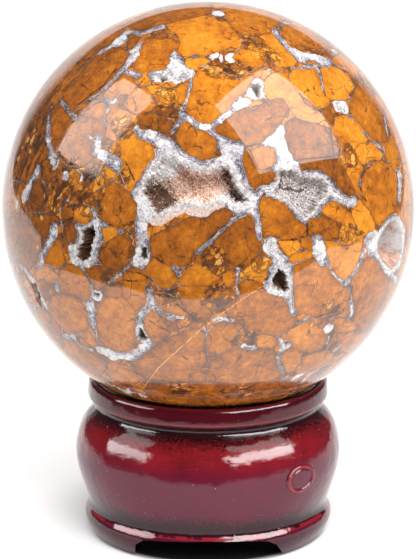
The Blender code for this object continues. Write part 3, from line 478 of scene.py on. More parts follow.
# Where chalcedony fills the cracks between fragments: half its width, and the line it follows.
SEAMS = [
    (1.3, [(-13.2, 14.6), (-11.2, 13.2), (-8.5, 12.0), (-5.6, 10.0), (-3.0, 8.2)]),
    (1.3, [(4.2, 8.0), (3.8, 10.5), (2.6, 12.4)]),
    (0.7, [(2.6, 12.6), (0.2, 14.6), (-1.8, 15.2)]),
    (0.6, [(-1.8, 15.2), (-3.6, 16.6), (-5.3, 17.4)]),
    (0.35, [(-5.3, 17.4), (-3.9, 20.9), (-3.2, 24.0)]),
    (1.2, [(3.0, 11.8), (5.9, 11.0), (6.9, 8.3), (7.8, 4.4), (9.2, 1.8)]),
    (0.9, [(8.4, 1.2), (10.4, 2.9), (13.4, 3.0)]),
    (0.55, [(8.6, 0.4), (9.5, -2.2), (10.0, -6.4)]),
    (0.4, [(8.0, -1.4), (4.8, -3.2), (1.2, -6.4), (-2.0, -9.4)]),
    (0.8, [(-20.6, 29.8), (-17.9, 31.5), (-16.0, 33.6), (-13.0, 33.4), (-9.2, 34.7)]),
    (1.1, [(-17.4, 31.4), (-16.4, 32.2)]),
    (0.75, [(-13.4, 31.0), (-15.0, 28.1), (-17.4, 25.2)]),
    (0.4, [(-17.4, 25.2), (-20.0, 22.6), (-22.7, 20.6)]),
    (0.6, [(-16.5, 26.1), (-13.4, 25.0)]),
    (1.0, [(-7.0, 29.4), (-5.6, 27.6), (-4.6, 25.6)]),
    (1.4, [(-10.6, 25.0), (-7.2, 25.0), (-3.8, 25.4)]),
    (0.35, [(-4.6, 28.2), (-2.2, 29.0)]),
    (0.35, [(-2.8, 26.7), (0.0, 27.0)]),
    (0.5, [(-6.9, 14.1), (-5.3, 16.0), (-4.4, 16.6)]),
    (0.5, [(-28.4, 20.1), (-25.6, 16.6)]),
    (0.7, [(-30.5, 18.9), (-31.2, 13.1), (-29.6, 8.3)]),
    (0.9, [(-33.0, 6.9), (-34.3, 4.4), (-35.7, 1.5)]),
    (0.8, [(-19.4, 20.8), (-18.4, 20.2)]),
    (0.8, [(-21.2, 13.1), (-21.8, 10.4), (-19.6, 9.0), (-17.6, 7.0)]),
    (1.3, [(-18.6, 8.4), (-17.8, 7.8)]),
    (1.1, [(1.6, 37.2), (2.6, 37.4)]),
    (0.7, [(12.7, 34.2), (14.2, 32.0), (15.6, 30.2)]),
    (1.7, [(15.6, 30.0), (18.6, 28.7), (22.4, 28.0)]),
    (0.7, [(22.4, 28.6), (26.2, 27.0)]),
    (1.2, [(22.6, 2.6), (25.4, 1.7), (28.0, 0.7)]),
    (0.35, [(13.4, 34.8), (15.0, 35.7)]),
    (0.4, [(16.4, 26.6), (21.2, 26.9)]),
    (0.35, [(21.4, 26.3), (22.1, 24.0), (22.3, 21.6)]),
    (0.5, [(27.4, 17.2), (30.0, 14.2), (32.6, 12.2), (34.0, 10.4)]),
    (0.8, [(36.8, 8.3), (37.2, 5.4), (37.0, 1.5)]),
    (0.2, [(33.9, 18.9), (34.9, 13.1)]),
    (0.6, [(7.6, 20.0), (3.0, 16.8), (0.0, 14.6)]),
    (1.3, [(14.0, 12.0), (14.6, 8.3), (16.0, 5.4)]),
    (0.4, [(29.1, 2.5), (29.5, 4.4), (31.4, 7.3)]),
    (1.2, [(-29.8, -4.2), (-30.0, -5.4)]),
    (0.7, [(-30.2, -6.6), (-32.0, -9.4), (-32.4, -11.6)]),
    (0.6, [(-37.0, -10.1), (-34.3, -13.9), (-31.2, -19.6)]),
    (0.4, [(-22.6, -1.0), (-20.8, -3.6), (-18.5, -4.7), (-16.5, -5.5)]),
    (1.2, [(-12.6, 0.0), (-13.0, -3.0), (-12.8, -6.0), (-12.4, -9.6), (-13.2, -11.4)]),
    (0.6, [(-6.6, -11.9), (-5.6, -13.6)]),
    (0.9, [(-21.9, -17.3), (-21.2, -17.3)]),
    (0.45, [(-24.3, -12.0), (-22.6, -14.6), (-22.4, -20.7), (-21.8, -24.6)]),
    (0.8, [(-11.5, -16.4), (-11.1, -19.2), (-13.0, -21.7), (-13.4, -24.6), (-11.3, -26.9)]),
    (1.0, [(-21.0, -27.9), (-18.6, -28.8), (-14.8, -29.4), (-11.6, -27.2)]),
    (0.6, [(-10.4, -20.0), (-8.0, -21.6), (-5.0, -21.8)]),
    (0.45, [(-30.4, -11.9), (-29.1, -16.3)]),
    (0.45, [(-27.8, -25.2), (-24.3, -27.5), (-20.8, -29.8), (-19.4, -31.4)]),
    (0.35, [(16.0, -36.2), (19.4, -32.7), (21.4, -31.3)]),
    (1.1, [(11.8, -7.2), (12.8, -9.4), (14.6, -11.4)]),
    (0.55, [(15.8, -12.6), (16.0, -17.8), (16.4, -21.1)]),
    (1.2, [(21.0, -6.6), (21.4, -9.0), (22.2, -10.8)]),
    (0.5, [(23.0, -11.0), (24.7, -14.2), (26.6, -15.6)]),
    (0.5, [(26.6, -15.3), (28.6, -12.6), (30.4, -8.6)]),
    (1.1, [(31.4, -6.0), (31.8, -9.0)]),
    (0.45, [(27.2, -16.3), (28.0, -20.7), (26.4, -22.8)]),
    (0.4, [(16.0, -23.6), (19.4, -21.9)]),
    (0.5, [(13.4, -25.0), (14.6, -27.5), (13.6, -29.4), (14.4, -32.3)]),
    (1.0, [(23.2, -23.9), (23.6, -23.4)]),
    (0.35, [(24.7, -27.9), (27.2, -25.5), (28.5, -24.6)]),
    (0.5, [(7.0, -27.4), (9.0, -27.8)]),
    (0.35, [(1.1, -22.2), (4.9, -22.4)]),
    (0.4, [(5.9, -12.4), (5.5, -14.9), (5.8, -17.2)]),
    (0.6, [(35.4, -13.2), (36.6, -15.0)]),
    (0.3, [(-15.6, -11.9), (-19.2, -15.2)]),
    (0.3, [(-23.2, -18.6), (-23.0, -22.6), (-21.8, -20.4)]),
]
# The polished pink-white band along the lower lip of the main hollow.
PALE_LIP = (0.95, [(-10.6, -3.9), (-6.3, -2.1), (-3.1, -1.6), (0.2, -1.5), (2.4, -0.7)])
# The pale gold hairline that crosses the lower half, and fine dark cracks.
GOLD_LINE = [(-13.6, -36.6), (-9.6, -31.4), (-1.5, -24.2), (5.4, -19.2), (10.7, -15.7)]
CRACK_LINES = [
    [(-24.9, 19.6), (-22.6, 21.6), (-20.2, 23.2), (-17.8, 26.6)],
    [(-5.0, 18.2), (-3.2, 16.8), (-1.8, 15.4)], [(-24.8, 23.6), (-23.6, 22.9), (-22.9, 22.2)],
    [(-16.0, 8.4), (-15.0, 6.2), (-14.3, 4.8)], [(-7.7, 21.6), (-6.6, 20.6), (-5.2, 19.2)],
    [(29.2, 3.6), (29.6, 5.2), (30.4, 6.8), (31.8, 7.9)], [(30.6, 1.0), (29.4, 2.0)],
    [(-28.2, -3.4), (-26.0, -2.4)], [(-10.4, -10.2), (-8.8, -11.2)], [(4.2, 30.6), (5.6, 30.2)],
    [(8.2, 34.7), (8.8, 34.2), (9.8, 34.1)], [(15.0, 26.9), (15.9, 26.2)],
    [(0.2, -6.9), (2.0, -5.2), (4.2, -3.6)], [(9.6, -1.0), (10.1, -4.0), (10.4, -6.4)],
    [(-14.6, -12.9), (-12.3, -13.6), (-10.6, -14.9)], [(-11.6, -22.2), (-9.8, -23.4), (-7.8, -24.4)],
    [(-16.2, -14.6), (-14.6, -14.9), (-12.9, -14.7)], [(-6.2, -19.2), (-4.2, -20.8), (-2.4, -22.2)],
    [(-4.9, -29.2), (-4.0, -29.9)], [(14.2, -6.9), (16.6, -6.8), (18.6, -6.2)],
    [(19.2, -3.2), (19.2, -5.8)], [(25.4, -20.4), (23.4, -20.8), (21.2, -21.6)],
    [(28.0, -15.6), (27.6, -17.6), (26.0, -20.6)],
]
# The side and back of the stone, out of sight, are broken up the same way.
HIDDEN_FROM_DEG = 77
HIDDEN_FRAGMENTS = 330
# The ball's mesh carries its fragments in four groups, and neighbours go in different ones.
GROUPS = "abcd"
TOUCHING_MM = 1.3
OUTLINE_GROWTH_MM = 0.34
# The mesh is finer this near the line of sight, and finest this near a hollow's edge.
FINE_WITHIN_DEG = 68
FINEST_WITHIN_MM = 0.6
# A spot of quartz or chips fades out this much past its reach.
SPOT_SPREAD = 1.35
# Traced outlines stop short of the ball's own edge, at this radius in millimetres.
TRACED_RADIUS = 39.4


def select_faces(mesh, chosen):
    mesh.vertices.foreach_set("select", np.zeros(len(mesh.vertices), bool))
    mesh.edges.foreach_set("select", np.zeros(len(mesh.edges), bool))
    mesh.polygons.foreach_set("select", np.asarray(chosen, bool))


def face_directions(mesh):
    centres = np.empty(len(mesh.polygons) * 3)
    mesh.polygons.foreach_get("center", centres)
    centres = centres.reshape(-1, 3)
    return centres / np.linalg.norm(centres, axis=1)[:, None]


def vertex_places(mesh):
    places = np.empty(len(mesh.vertices) * 3)
    mesh.vertices.foreach_get("co", places)
    return places.reshape(-1, 3)


def refine(ball, chosen):
    """Splits the chosen faces in four and lifts the new corners onto the sphere."""
    select_faces(ball.data, chosen)
    bpy.ops.object.mode_set(mode="EDIT")
    bpy.ops.mesh.subdivide(number_cuts=1, ngon=False)
    bpy.ops.object.mode_set(mode="OBJECT")
    places = vertex_places(ball.data)
    places *= BALL_RADIUS / np.linalg.norm(places, axis=1)[:, None]
    ball.data.vertices.foreach_set("co", places.ravel())
    ball.data.update()


def inside_hollow(name, directions):
    """How far inside the named hollow's crumbled edge each point lies, in millimetres."""
    x, y, z = directions.T
    crumbs = 0.20 * np.sin(150 * x + 40 * y) * np.sin(170 * z + 20 * x)
    crumbs += 0.13 * np.sin(380 * z + 90 * x) * np.sin(350 * x - 120 * y)
    hollow = HOLLOWS[name]
    smooth_inside = inside_outline(directions, hollow["outline"], hollow["turn"])
    return smooth_inside + crumbs * hollow.get("crumble", 1.0)


def hollow_depth(name, directions):
    """Depth of the named hollow below the polished skin, in millimetres."""
    hollow = HOLLOWS[name]
    inside = np.maximum(inside_hollow(name, directions), 0)
    depth = hollow["depth"] * (1 - np.exp(-((inside / hollow["wall"]) ** 1.6)))
    for right, up, reach, share in hollow.get("swellings", []):
        off = along_line(directions, [(right, up), (right + 0.1, up)])
        depth *= 1 - share * np.exp(-((off / reach) ** 2))
    return depth


def pit_depth(directions, turn, right, up, half_width, half_height, deep):
    middle = on_ball([(right, up)], turn)[0]
    flat = flattened(directions, middle)
    off = np.hypot(flat[:, 0] / half_width, flat[:, 1] / half_height)
    round_it = np.arctan2(flat[:, 1], flat[:, 0])
    off *= 1 + 0.22 * np.sin(3 * round_it + right) + 0.14 * np.sin(7 * round_it + up)
    return deep * np.clip(1 - off**2, 0, 1) ** 0.6


bpy.context.tool_settings.mesh_select_mode = (False, False, True)
bpy.ops.mesh.primitive_ico_sphere_add(subdivisions=7, radius=BALL_RADIUS)
ball = bpy.context.object
ball.name = "polished_ball"
ball.data.name = "polished_ball"
viewer = seen_axes()[2]
refine(ball, face_directions(ball.data) @ viewer > math.cos(math.radians(FINE_WITHIN_DEG)))
faces = face_directions(ball.data)
opened = np.zeros(len(faces), bool)
for hollow in HOLLOWS.values():
    opened |= inside_outline(faces, hollow["outline"], hollow["turn"]) > -FINEST_WITHIN_MM
for pit in PITS:
    opened |= pit_depth(faces, *pit) > 0
refine(ball, opened)

skin = vertex_places(ball.data) / BALL_RADIUS
sunk = np.zeros(len(skin))
fallen = np.zeros(skin.shape)
for name, hollow in HOLLOWS.items():
    depth = hollow_depth(name, skin)
    middle = on_ball(hollow["outline"], hollow["turn"]).mean(axis=0)
    middle /= np.linalg.norm(middle)
    sunk = np.maximum(sunk, depth)
    fallen += depth[:, None] * middle
for pit in PITS:
    depth = pit_depth(skin, *pit)
    sunk = np.maximum(sunk, depth)
    fallen += depth[:, None] * skin
sunken = skin * BALL_RADIUS - fallen / 1000
sunken[:, 2] += BALL_HEIGHT
ball.data.vertices.foreach_set("co", sunken.ravel())
ball.data.update()


def greatest(layers):
    return np.max(layers, axis=0)


def hidden_fragments(directions):
    """Straight-sided fragments for the side and back of the ball.
    For each: its tone, the points near it, and how far inside it they lie."""
    dice = random.Random(41)
    hidden = np.degrees(np.arccos(np.clip(directions @ viewer, -1, 1)))
    seeds = []
    while len(seeds) < HIDDEN_FRAGMENTS:
        place = Vector((dice.gauss(0, 1), dice.gauss(0, 1), dice.gauss(0, 1))).normalized()
        room = dice.choice((0.055, 0.09, 0.13))
        if place.dot(Vector(viewer)) < math.cos(math.radians(HIDDEN_FROM_DEG - 4)):
            if all((place - other).length > min(room, gap) for other, gap in seeds):
                seeds.append((place, room))
    places = np.array([seed for seed, _ in seeds])
    away = np.linalg.norm(directions[:, None, :] - places[None, :, :], axis=2)
    order = np.argsort(away, axis=1)[:, :6]
    ranked = np.take_along_axis(away, order, axis=1)
    margins = []
    for rank in range(3):
        margin = (hidden - HIDDEN_FROM_DEG) * 0.7
        for other in range(6):
            if other != rank:
                gap = np.linalg.norm(places[order[:, other]] - places[order[:, rank]], axis=1)
                split = (ranked[:, other] ** 2 - ranked[:, rank] ** 2) / (2 * gap)
                margin = np.minimum(margin, split * BALL_RADIUS * 1000)
        margins.append(margin)
    fragments = []
    for index in range(len(seeds)):
        seam = dice.choice((0.0, 0.05, 0.1, 0.25, 0.6))
        points = [np.flatnonzero(order[:, rank] == index) for rank in range(3)]
        depths = [margins[rank][points[rank]] - seam for rank in range(3)]
        tone = dice.choice((0.3, 0.42, 0.5, 0.56, 0.62, 0.7, 0.8, 0.9))
        fragments.append((tone, np.concatenate(points), np.concatenate(depths)))
    return fragments


def grown(outline, margin):
    """The outline moved outwards all round by a margin, with its corners kept sharp."""
    corners = np.array(outline, float)
    following = np.roll(corners, -1, axis=0)
    after = following - corners
    if np.sum(corners[:, 0] * following[:, 1] - corners[:, 1] * following[:, 0]) < 0:
        after = -after
    after /= np.linalg.norm(after, axis=1)[:, None]
    outwards = np.stack((after[:, 1], -after[:, 0]), axis=1)
    before = np.roll(outwards, 1, axis=0)
    mitre = outwards + before
    mitre /= np.maximum((mitre * outwards).sum(axis=1), 0.75)[:, None]
    moved = corners + mitre * margin
    radius = np.linalg.norm(moved, axis=1)
    return moved * np.minimum(1, TRACED_RADIUS / radius)[:, None]


def fragment_fields(directions):
    """For each of four groups, how far each point lies inside the group's fragments, and their tone.
    Neighbours are put in different groups, so a seam between them stays as thin as it is drawn."""
    fragments = hidden_fragments(directions)
    for tone, outline in FRAGMENTS:
        depth = inside_outline(directions, grown(outline, OUTLINE_GROWTH_MM))
        points = np.flatnonzero(depth > -FAR_MM)
        fragments.append((tone, points, depth[points]))
    owners = [[] for _ in directions]
    for index, (_, points, depth) in enumerate(fragments):
        for point in points[depth > -TOUCHING_MM][::2]:
            owners[point].append(index)
    neighbours = [set() for _ in fragments]
    for together in owners:
        for one in together:
            neighbours[one].update(together)
    group_of = {}
    for index in sorted(range(len(fragments)), key=lambda i: -len(neighbours[i])):
        taken = [group_of[other] for other in neighbours[index] if other in group_of]
        group_of[index] = min(GROUPS, key=taken.count)
    fields = {}
    for group in GROUPS:
        fields["inside_" + group] = np.full(len(directions), -FAR_MM)
        fields["tone_" + group] = np.full(len(directions), 0.5)
    for index, (tone, points, depth) in enumerate(fragments):
        inside = fields["inside_" + group_of[index]]
        deeper = depth > inside[points]
        inside[points[deeper]] = depth[deeper]
        fields["tone_" + group_of[index]][points[deeper]] = tone
    return fields


def soft_edge(off, reach):
    """1 near the middle, falling to 0 at the reach."""
    return np.clip(1.4 - 1.4 * off / reach, 0, 1)


def soft_spot(directions, right, up, reach, turn=0.0):
    middle = on_ball([(right, up)], turn)[0]
    off = np.linalg.norm(directions - middle, axis=1) * BALL_RADIUS * 1000
    return soft_edge(off, reach)


def soft_spots(directions, spots):
    return greatest([soft_spot(directions, right, up, reach * SPOT_SPREAD) for right, up, reach in spots])


def mark(mesh, name, values):
    """Keeps one value for each corner of the mesh."""
    layer = mesh.attributes.get(name) or mesh.attributes.new(name, "FLOAT", "POINT")
    layer.data.foreach_set("value", np.asarray(values, np.float32))


fields = fragment_fields(skin)
fields["quartz"] = soft_spots(skin, QUARTZ)
fields["crackle"] = soft_spots(skin, CRACKLE)
fields["bright_chip"] = soft_spots(skin, BRIGHT_CHIPS)
fields["streaked"] = soft_spots(skin, STREAKED)
fields["quartz"] = greatest([fields["quartz"]] + [soft_spot(skin, *spot) for spot in HIDDEN_QUARTZ])
inside_hollows = {name: inside_hollow(name, skin) for name in HOLLOWS}
seams = [half - along_line(skin, line) for half, line in SEAMS]
seams += [inside_hollows[name] + hollow["lip"] for name, hollow in HOLLOWS.items()]
fields["seam"] = np.clip(greatest(seams), -3, 3)
fields["pale_lip"] = np.clip(PALE_LIP[0] - along_line(skin, PALE_LIP[1]), -2, 2)
fields["gold_line"] = np.minimum(along_line(skin, GOLD_LINE), 6)
from_cracks = [along_line(skin, line) for line in CRACK_LINES]
fields["crack_line"] = np.minimum(np.min(from_cracks, axis=0), 6)
fields["sunk"] = sunk
fields["hollow_rim"] = np.clip(greatest(list(inside_hollows.values())), -6, 6)
for name, values in fields.items():
    mark(ball.data, name, values)
ball.data.shade_smooth()


class Wire:
    """One value inside a finish. Arithmetic on it adds the finish's Math nodes."""

    tree = None

    def __init__(self, socket):
        self.socket = socket

    def __add__(self, other):
        return maths("ADD", self, other)

    def __sub__(self, other):
        return maths("SUBTRACT", self, other)

    def __rsub__(self, other):
        return maths("SUBTRACT", other, self)

    def __mul__(self, other):
        return maths("MULTIPLY", self, other)

    def __gt__(self, other):
        return maths("GREATER_THAN", self, other)

    __radd__ = __add__
    __rmul__ = __mul__


def node(kind, settings=None, inputs=None, output=0):
    """Adds a node to the finish in hand: its settings, then the values or links of its sockets."""
    made = Wire.tree.nodes.new(kind)
    for name, value in (settings or {}).items():
        if name == "stops":
            ramp = made.color_ramp
            for spare in list(ramp.elements)[1:]:
                ramp.elements.remove(spare)
            for index, (place, colour) in enumerate(value):
                stop = ramp.elements[0] if index == 0 else ramp.elements.new(place)
                stop.position = place
                stop.color = (*colour, 1.0)
        else:
            setattr(made, name, value)
    for name, value in (inputs or {}).items():
        socket = made.inputs[name]
        if isinstance(value, Wire):
            Wire.tree.links.new(value.socket, socket)
        else:
            socket.default_value = value
    return Wire(made.outputs[output])


def maths(operation, *values):
    return node("ShaderNodeMath", {"operation": operation}, dict(enumerate(values)))


def lesser(one, other):
    return maths("MINIMUM", one, other)


def greater(one, other):
    return maths("MAXIMUM", one, other)


def step(value, low, high):
    """0 below low, 1 above high, smooth between. low may be the larger."""
    return node(
        "ShaderNodeMapRange", {"interpolation_type": "SMOOTHSTEP"},
        {"Value": value, "From Min": low, "From Max": high},
    )


def blend(share, one, other):
    """A colour between one and other."""
    ends = {6: one, 7: other}
    for index, colour in ends.items():
        if not isinstance(colour, Wire):
            ends[index] = (*colour, 1.0)
    return node("ShaderNodeMix", {"data_type": "RGBA"}, {0: share, **ends}, output=2)


def grain(scale, detail=3.0, place=None, roughness=0.55, distortion=0.0):
    """Noise about 1 / scale metres wide, from 0 to 1."""
    inputs = {"Scale": scale, "Detail": detail, "Roughness": roughness, "Distortion": distortion}
    if place is not None:
        inputs["Vector"] = place
    return node("ShaderNodeTexNoise", None, inputs)


def carried(name):
    """A value that the mesh carries at its corners."""
    return node("ShaderNodeAttribute", {"attribute_name": name}, output="Fac")


def new_finish(name):
    """An empty material, made the one in hand, and its surface shader."""
    finish = bpy.data.materials.new(name)
    finish.use_nodes = True
    Wire.tree = finish.node_tree
    return finish, finish.node_tree.nodes["Principled BSDF"]


def feed(shader, **inputs):
    """Values or links for the surface shader. Underscores stand for spaces."""
    for name, value in inputs.items():
        socket = shader.inputs[name.replace("_", " ")]
        if isinstance(value, Wire):
            Wire.tree.links.new(value.socket, socket)
        elif isinstance(value, tuple):
            socket.default_value = (*value, 1.0)
        else:
            socket.default_value = value


def warped(place, scale, reach):
    """The place, pushed about by noise, so that a pattern on it has no straight run."""
    push = {"Vector": place, "Scale": scale, "Detail": 3.0}
    push = node("ShaderNodeTexNoise", None, push, output="Color")
    push = node("ShaderNodeVectorMath", {"operation": "SUBTRACT"}, {0: push, 1: (0.5, 0.5, 0.5)})
    push = node("ShaderNodeVectorMath", {"operation": "SCALE"}, {0: push, "Scale": reach})
    return node("ShaderNodeVectorMath", None, {0: place, 1: push})


def cells(place, scale):
    """Broken cells about 1 / scale metres wide: how far inside its own one a point lies, and two
    random values for each cell."""
    inputs = {"Vector": place, "Scale": scale}
    edge = node("ShaderNodeTexVoronoi", {"feature": "DISTANCE_TO_EDGE"}, inputs)
    tint = node("ShaderNodeTexVoronoi", None, inputs, output="Color")
    red = node("ShaderNodeSeparateColor", None, {"Color": tint}, output="Red")
    green = node("ShaderNodeSeparateColor", None, {"Color": tint}, output="Green")
    return edge, red, green


def agate_finish():
    """Polished jasper fragments in banded chalcedony, with frosted walls in the hollows."""
    finish, shader = new_finish("polished_agate")
    place = node("ShaderNodeTexCoord", output="Object")
    ragged = (grain(520, 2, place) - 0.5) * 1.1 + (grain(1500, 3, place, 0.7) - 0.5) * 0.8

    # The deepest of the four groups wins, and the second tells where two fragments touch.
    best = carried("inside_a") + ragged
    tone = carried("tone_a")
    second = -9.0
    for group in GROUPS[1:]:
        inside = carried("inside_" + group) + ragged
        take = inside > best
        second = greater(second, lesser(best, inside))
        own_tone = carried("tone_" + group)
        tone = tone + (own_tone - tone) * take
        best = greater(best, inside)

    # A seam eats back into the fragments beside it, but never far.
    seam_depth = carried("seam") + (grain(300, 2, place) - 0.5) * 1.3
    seam_depth = seam_depth + grain(950, 3, place, 0.65) - 0.5
    best = lesser(best, greater(0.0 - seam_depth, best - 0.5))

    # Small chips fill most of what the traced fragments and the seams leave free.
    rough = warped(place, 700, 0.0011)
    slanted = {"Vector": rough, "Rotation": (0.0, 0.8, 0.0), "Scale": (1.0, 1.0, 1.8)}
    rough = node("ShaderNodeMapping", {"vector_type": "TEXTURE"}, slanted)
    chip_edge, chip_tint, chip_chance = cells(rough, 620)
    splinter_edge, splinter_tint, splinter_chance = cells(rough, 1150)
    white = step(carried("quartz") + (grain(420, 4, place, 0.6) - 0.5) * 1.4, 0.32, 0.5)
    outside = 0.0 - best
    packed = step(grain(130, 2, place), 0.40, 0.52)
    chip = (chip_chance > 0.12 - packed * 0.12) * (1.0 - white) * step(outside, 0.10, 0.22)
    chip = chip * step(seam_depth, 0.05, -0.10)
    tone = tone + (chip_tint * 0.55 + 0.32 - tone) * chip
    jasper_here = greater(step(best, -0.04, 0.05), chip)

    # Jasper: clouded, mottled, streaked and finely grained, and crushed to splinters in places.
    clouds = grain(150, 5, place, 0.6) - 0.5
    mottle = grain(620, 5, place, 0.65) - 0.5
    streaks = {"Vector": place, "Rotation": (0.5, 0.3, 0.9), "Scale": (1, 0.18, 1)}
    streaks = node("ShaderNodeMapping", None, streaks)
    streak = grain(420, 4, streaks, 0.6) - 0.5
    fine = grain(1900, 3, place, 0.7) - 0.5
    edge_dark = step(best, 0.9, 0.1) * 0.10
    tone = tone * 0.86 + 0.03 + clouds * 0.56 + mottle * 0.72 + streak * 0.38 + fine * 0.5
    tone = tone - edge_dark
    # The lower part of the ball is painted darker: painted shade on its underside.
    low_down = node("ShaderNodeSeparateXYZ", None, {"Vector": place}, output="Z")
    tone = tone - step(low_down, 0.060, 0.044) * 0.08
    crushed = step(carried("crackle") + (grain(290, 4, place, 0.65) - 0.5) * 1.7, 0.30, 0.40)
    tone = tone + crushed * ((splinter_tint - 0.5) * 0.62 + (chip_tint - 0.5) * 0.2 - 0.02)
    grained = node("ShaderNodeMapping", {"vector_type": "TEXTURE"}, {
        "Vector": warped(place, 130, 0.006), "Rotation": (0.0, 0.35, 0.0), "Scale": (1.0, 1.0, 7.0)})
    tone = tone + (grain(900, 3, grained, 0.7) - 0.5) * 1.7 * carried("streaked")
    jasper = node("ShaderNodeValToRGB", {"stops": [
        (0.00, (0.070, 0.026, 0.009)), (0.18, (0.160, 0.052, 0.011)), (0.34, (0.290, 0.084, 0.011)),
        (0.50, (0.440, 0.134, 0.013)), (0.66, (0.600, 0.200, 0.016)), (0.82, (0.740, 0.275, 0.024)),
        (1.00, (0.840, 0.370, 0.050)),
    ]}, {"Fac": tone})

    # Where the stone is crushed, it is all splinters with dark cracks between.
    gaps = step(splinter_edge, 0.13, 0.05) * step(splinter_chance, 0.10, 0.3)
    fissure = greater(step(chip_edge, 0.075, 0.02), gaps) * crushed * jasper_here
    fissure = greater(fissure * 0.9, step(chip_edge, 0.06, 0.02) * chip)
    jasper = blend(fissure * 0.75, jasper, (0.072, 0.032, 0.015))
    pale_chip = crushed * step(splinter_tint, 0.90, 0.97) * step(splinter_edge, 0.1, 0.2)
    jasper = blend(pale_chip * 0.6, jasper, (0.78, 0.44, 0.13))

    healed_edge, _, _ = cells(warped(place, 260, 0.004), 190)
    healed = step(healed_edge, 0.026, 0.006) * step(grain(330, 2, place), 0.48, 0.56)
    jasper = blend(healed * 0.75, jasper, (0.060, 0.024, 0.012))
    crack = carried("crack_line") + (grain(900, 4, place) - 0.5) * 0.55
    jasper = blend(step(crack, 0.26, 0.10) * 0.85, jasper, (0.030, 0.014, 0.010))
    specks = step(grain(1500, 2, place), 0.68, 0.74) * step(grain(180, 2, place), 0.45, 0.6)
    jasper = blend(specks * 0.6, jasper, (0.060, 0.022, 0.010))
    flecks = step(grain(1100, 3, place, 0.7), 0.30, 0.26) * step(clouds, 0.02, 0.14)
    jasper = blend(flecks * 0.5, jasper, (0.82, 0.46, 0.13))
    bright_chip = step(carried("bright_chip") + (grain(900, 2, place) - 0.5) * 0.8, 0.35, 0.45)
    jasper = blend(bright_chip * 0.9, jasper, (0.62, 0.36, 0.11))

    # Chalcedony: a white edge against the jasper, a dark line, then milky grey-lilac.
    milky = grain(520, 5, place, 0.65) - 0.5
    cloudy = grain(140, 3, place) - 0.5
    thick = step(outside, 0.1, 1.1)
    speckles = grain(1600, 3, place, 0.75) - 0.5
    body = node("ShaderNodeValToRGB", {"stops": [
        (0.0, (0.070, 0.058, 0.066)), (0.25, (0.190, 0.165, 0.185)), (0.5, (0.360, 0.325, 0.355)),
        (0.75, (0.540, 0.505, 0.525)), (1.0, (0.760, 0.735, 0.735)),
    ]}, {"Fac": milky * 2.2 + speckles * 2.0 + cloudy * 0.6 + thick * 0.36 + 0.4})
    bands = outside + (grain(800, 3, place) - 0.5) * 0.18
    halo = step(bands, 0.20, 0.10) * step(grain(200, 2, place), 0.44, 0.54)
    body = blend(halo * 0.7, body, (0.80, 0.74, 0.71))
    line = step(maths("ABSOLUTE", bands - 0.30), 0.15, 0.04) * step(grain(350, 3, place), 0.38, 0.52)
    inner_line = step(maths("ABSOLUTE", bands - 0.78), 0.11, 0.03) * step(grain(270, 3, place), 0.47, 0.56)
    line = greater(line, inner_line)
    body = blend(line * 0.8 * (1.0 - white * 0.6), body, (0.060, 0.052, 0.072))
    spark = grain(2400, 3, place, 0.75)
    quartz = node("ShaderNodeValToRGB", {"stops": [
        (0.0, (0.13, 0.11, 0.12)), (0.38, (0.30, 0.27, 0.29)), (0.5, (0.48, 0.45, 0.46)),
        (0.66, (0.74, 0.72, 0.71)),
    ]}, {"Fac": (spark - 0.5) * 1.2 + (grain(420, 4, place, 0.65) - 0.5) * 1.1 + cloudy * 0.3 + 0.57})
    seam = blend(white, body, quartz)
    lip = step(carried("pale_lip") + (grain(700, 3, place) - 0.5) * 0.5, -0.1, 0.15)
    lip_tint = blend(step(spark, 0.45, 0.62), (0.560, 0.400, 0.340), (0.860, 0.690, 0.620))
    seam = blend(lip * 0.9, seam, lip_tint)
    # Where fragments all but touch, with no traced seam, the thin gap is dark more often than pale.
    thin = step(seam_depth, 0.02, -0.15) * (1.0 - white) * step(outside, 0.5, 0.3)
    thin = thin * step(grain(110, 2, place), 0.62, 0.50)
    seam = blend(thin * 0.85, seam, (0.105, 0.055, 0.034))
    colour = blend(jasper_here, seam, jasper)

    # Dark lines round the fragments and where two touch, and the gold hairline.
    outline = step(maths("ABSOLUTE", best + 0.03), 0.15, 0.03) * step(grain(300, 3, place), 0.34, 0.50)
    outline = outline * (1.0 - chip)
    colour = blend(outline * 0.85, colour, (0.060, 0.036, 0.028))
    touching = step(best - second, 0.20, 0.04) * step(second, 0.0, 0.15)
    colour = blend(touching * 0.8, colour, (0.060, 0.028, 0.016))
    gold = step(carried("gold_line") + (grain(900, 2, place) - 0.5) * 0.10, 0.19, 0.07)
    colour = blend(gold * 0.75, colour, (0.90, 0.50, 0.16))

    # Sugary quartz round the hollows, and dull brown walls, with painted shade that turns them near black
    # with depth.
    rim = carried("hollow_rim") + (grain(900, 3, place) - 0.5) * 0.6
    rim = step(rim, -0.90, -0.20) * (1.0 - step(best, 0.3, 0.8))
    sugar = blend(step(spark, 0.42, 0.60), (0.36, 0.31, 0.29), (0.86, 0.82, 0.80))
    colour = blend(rim * 0.7, colour, sugar)
    wall = step(carried("sunk"), 0.02, 0.22)
    colour = blend(wall * 0.85, colour, (0.42, 0.36, 0.33))
    # Painted shade in the deep: the walls go near black with depth.
    colour = blend(step(carried("sunk"), 0.3, 1.0) * 0.9, colour, (0.030, 0.020, 0.014))

    gloss = 0.040 + wall * 0.5 + white * (1.0 - jasper_here) * step(spark, 0.5, 0.7) * 0.10 + fissure * 0.12
    relief = jasper_here * 0.4 - outline * 0.5 - fissure * 0.5 - touching * 0.5
    relief = relief + wall * grain(2600, 3, place) * 6.0
    bump = {"Strength": 0.5, "Distance": 0.00002, "Height": relief}
    bump = node("ShaderNodeBump", None, bump, output="Normal")
    feed(shader, Base_Color=colour, Roughness=gloss, Normal=bump, IOR=1.7)
    return finish


ball.data.materials.append(agate_finish())
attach(ball, "root")
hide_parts("agate_ball")
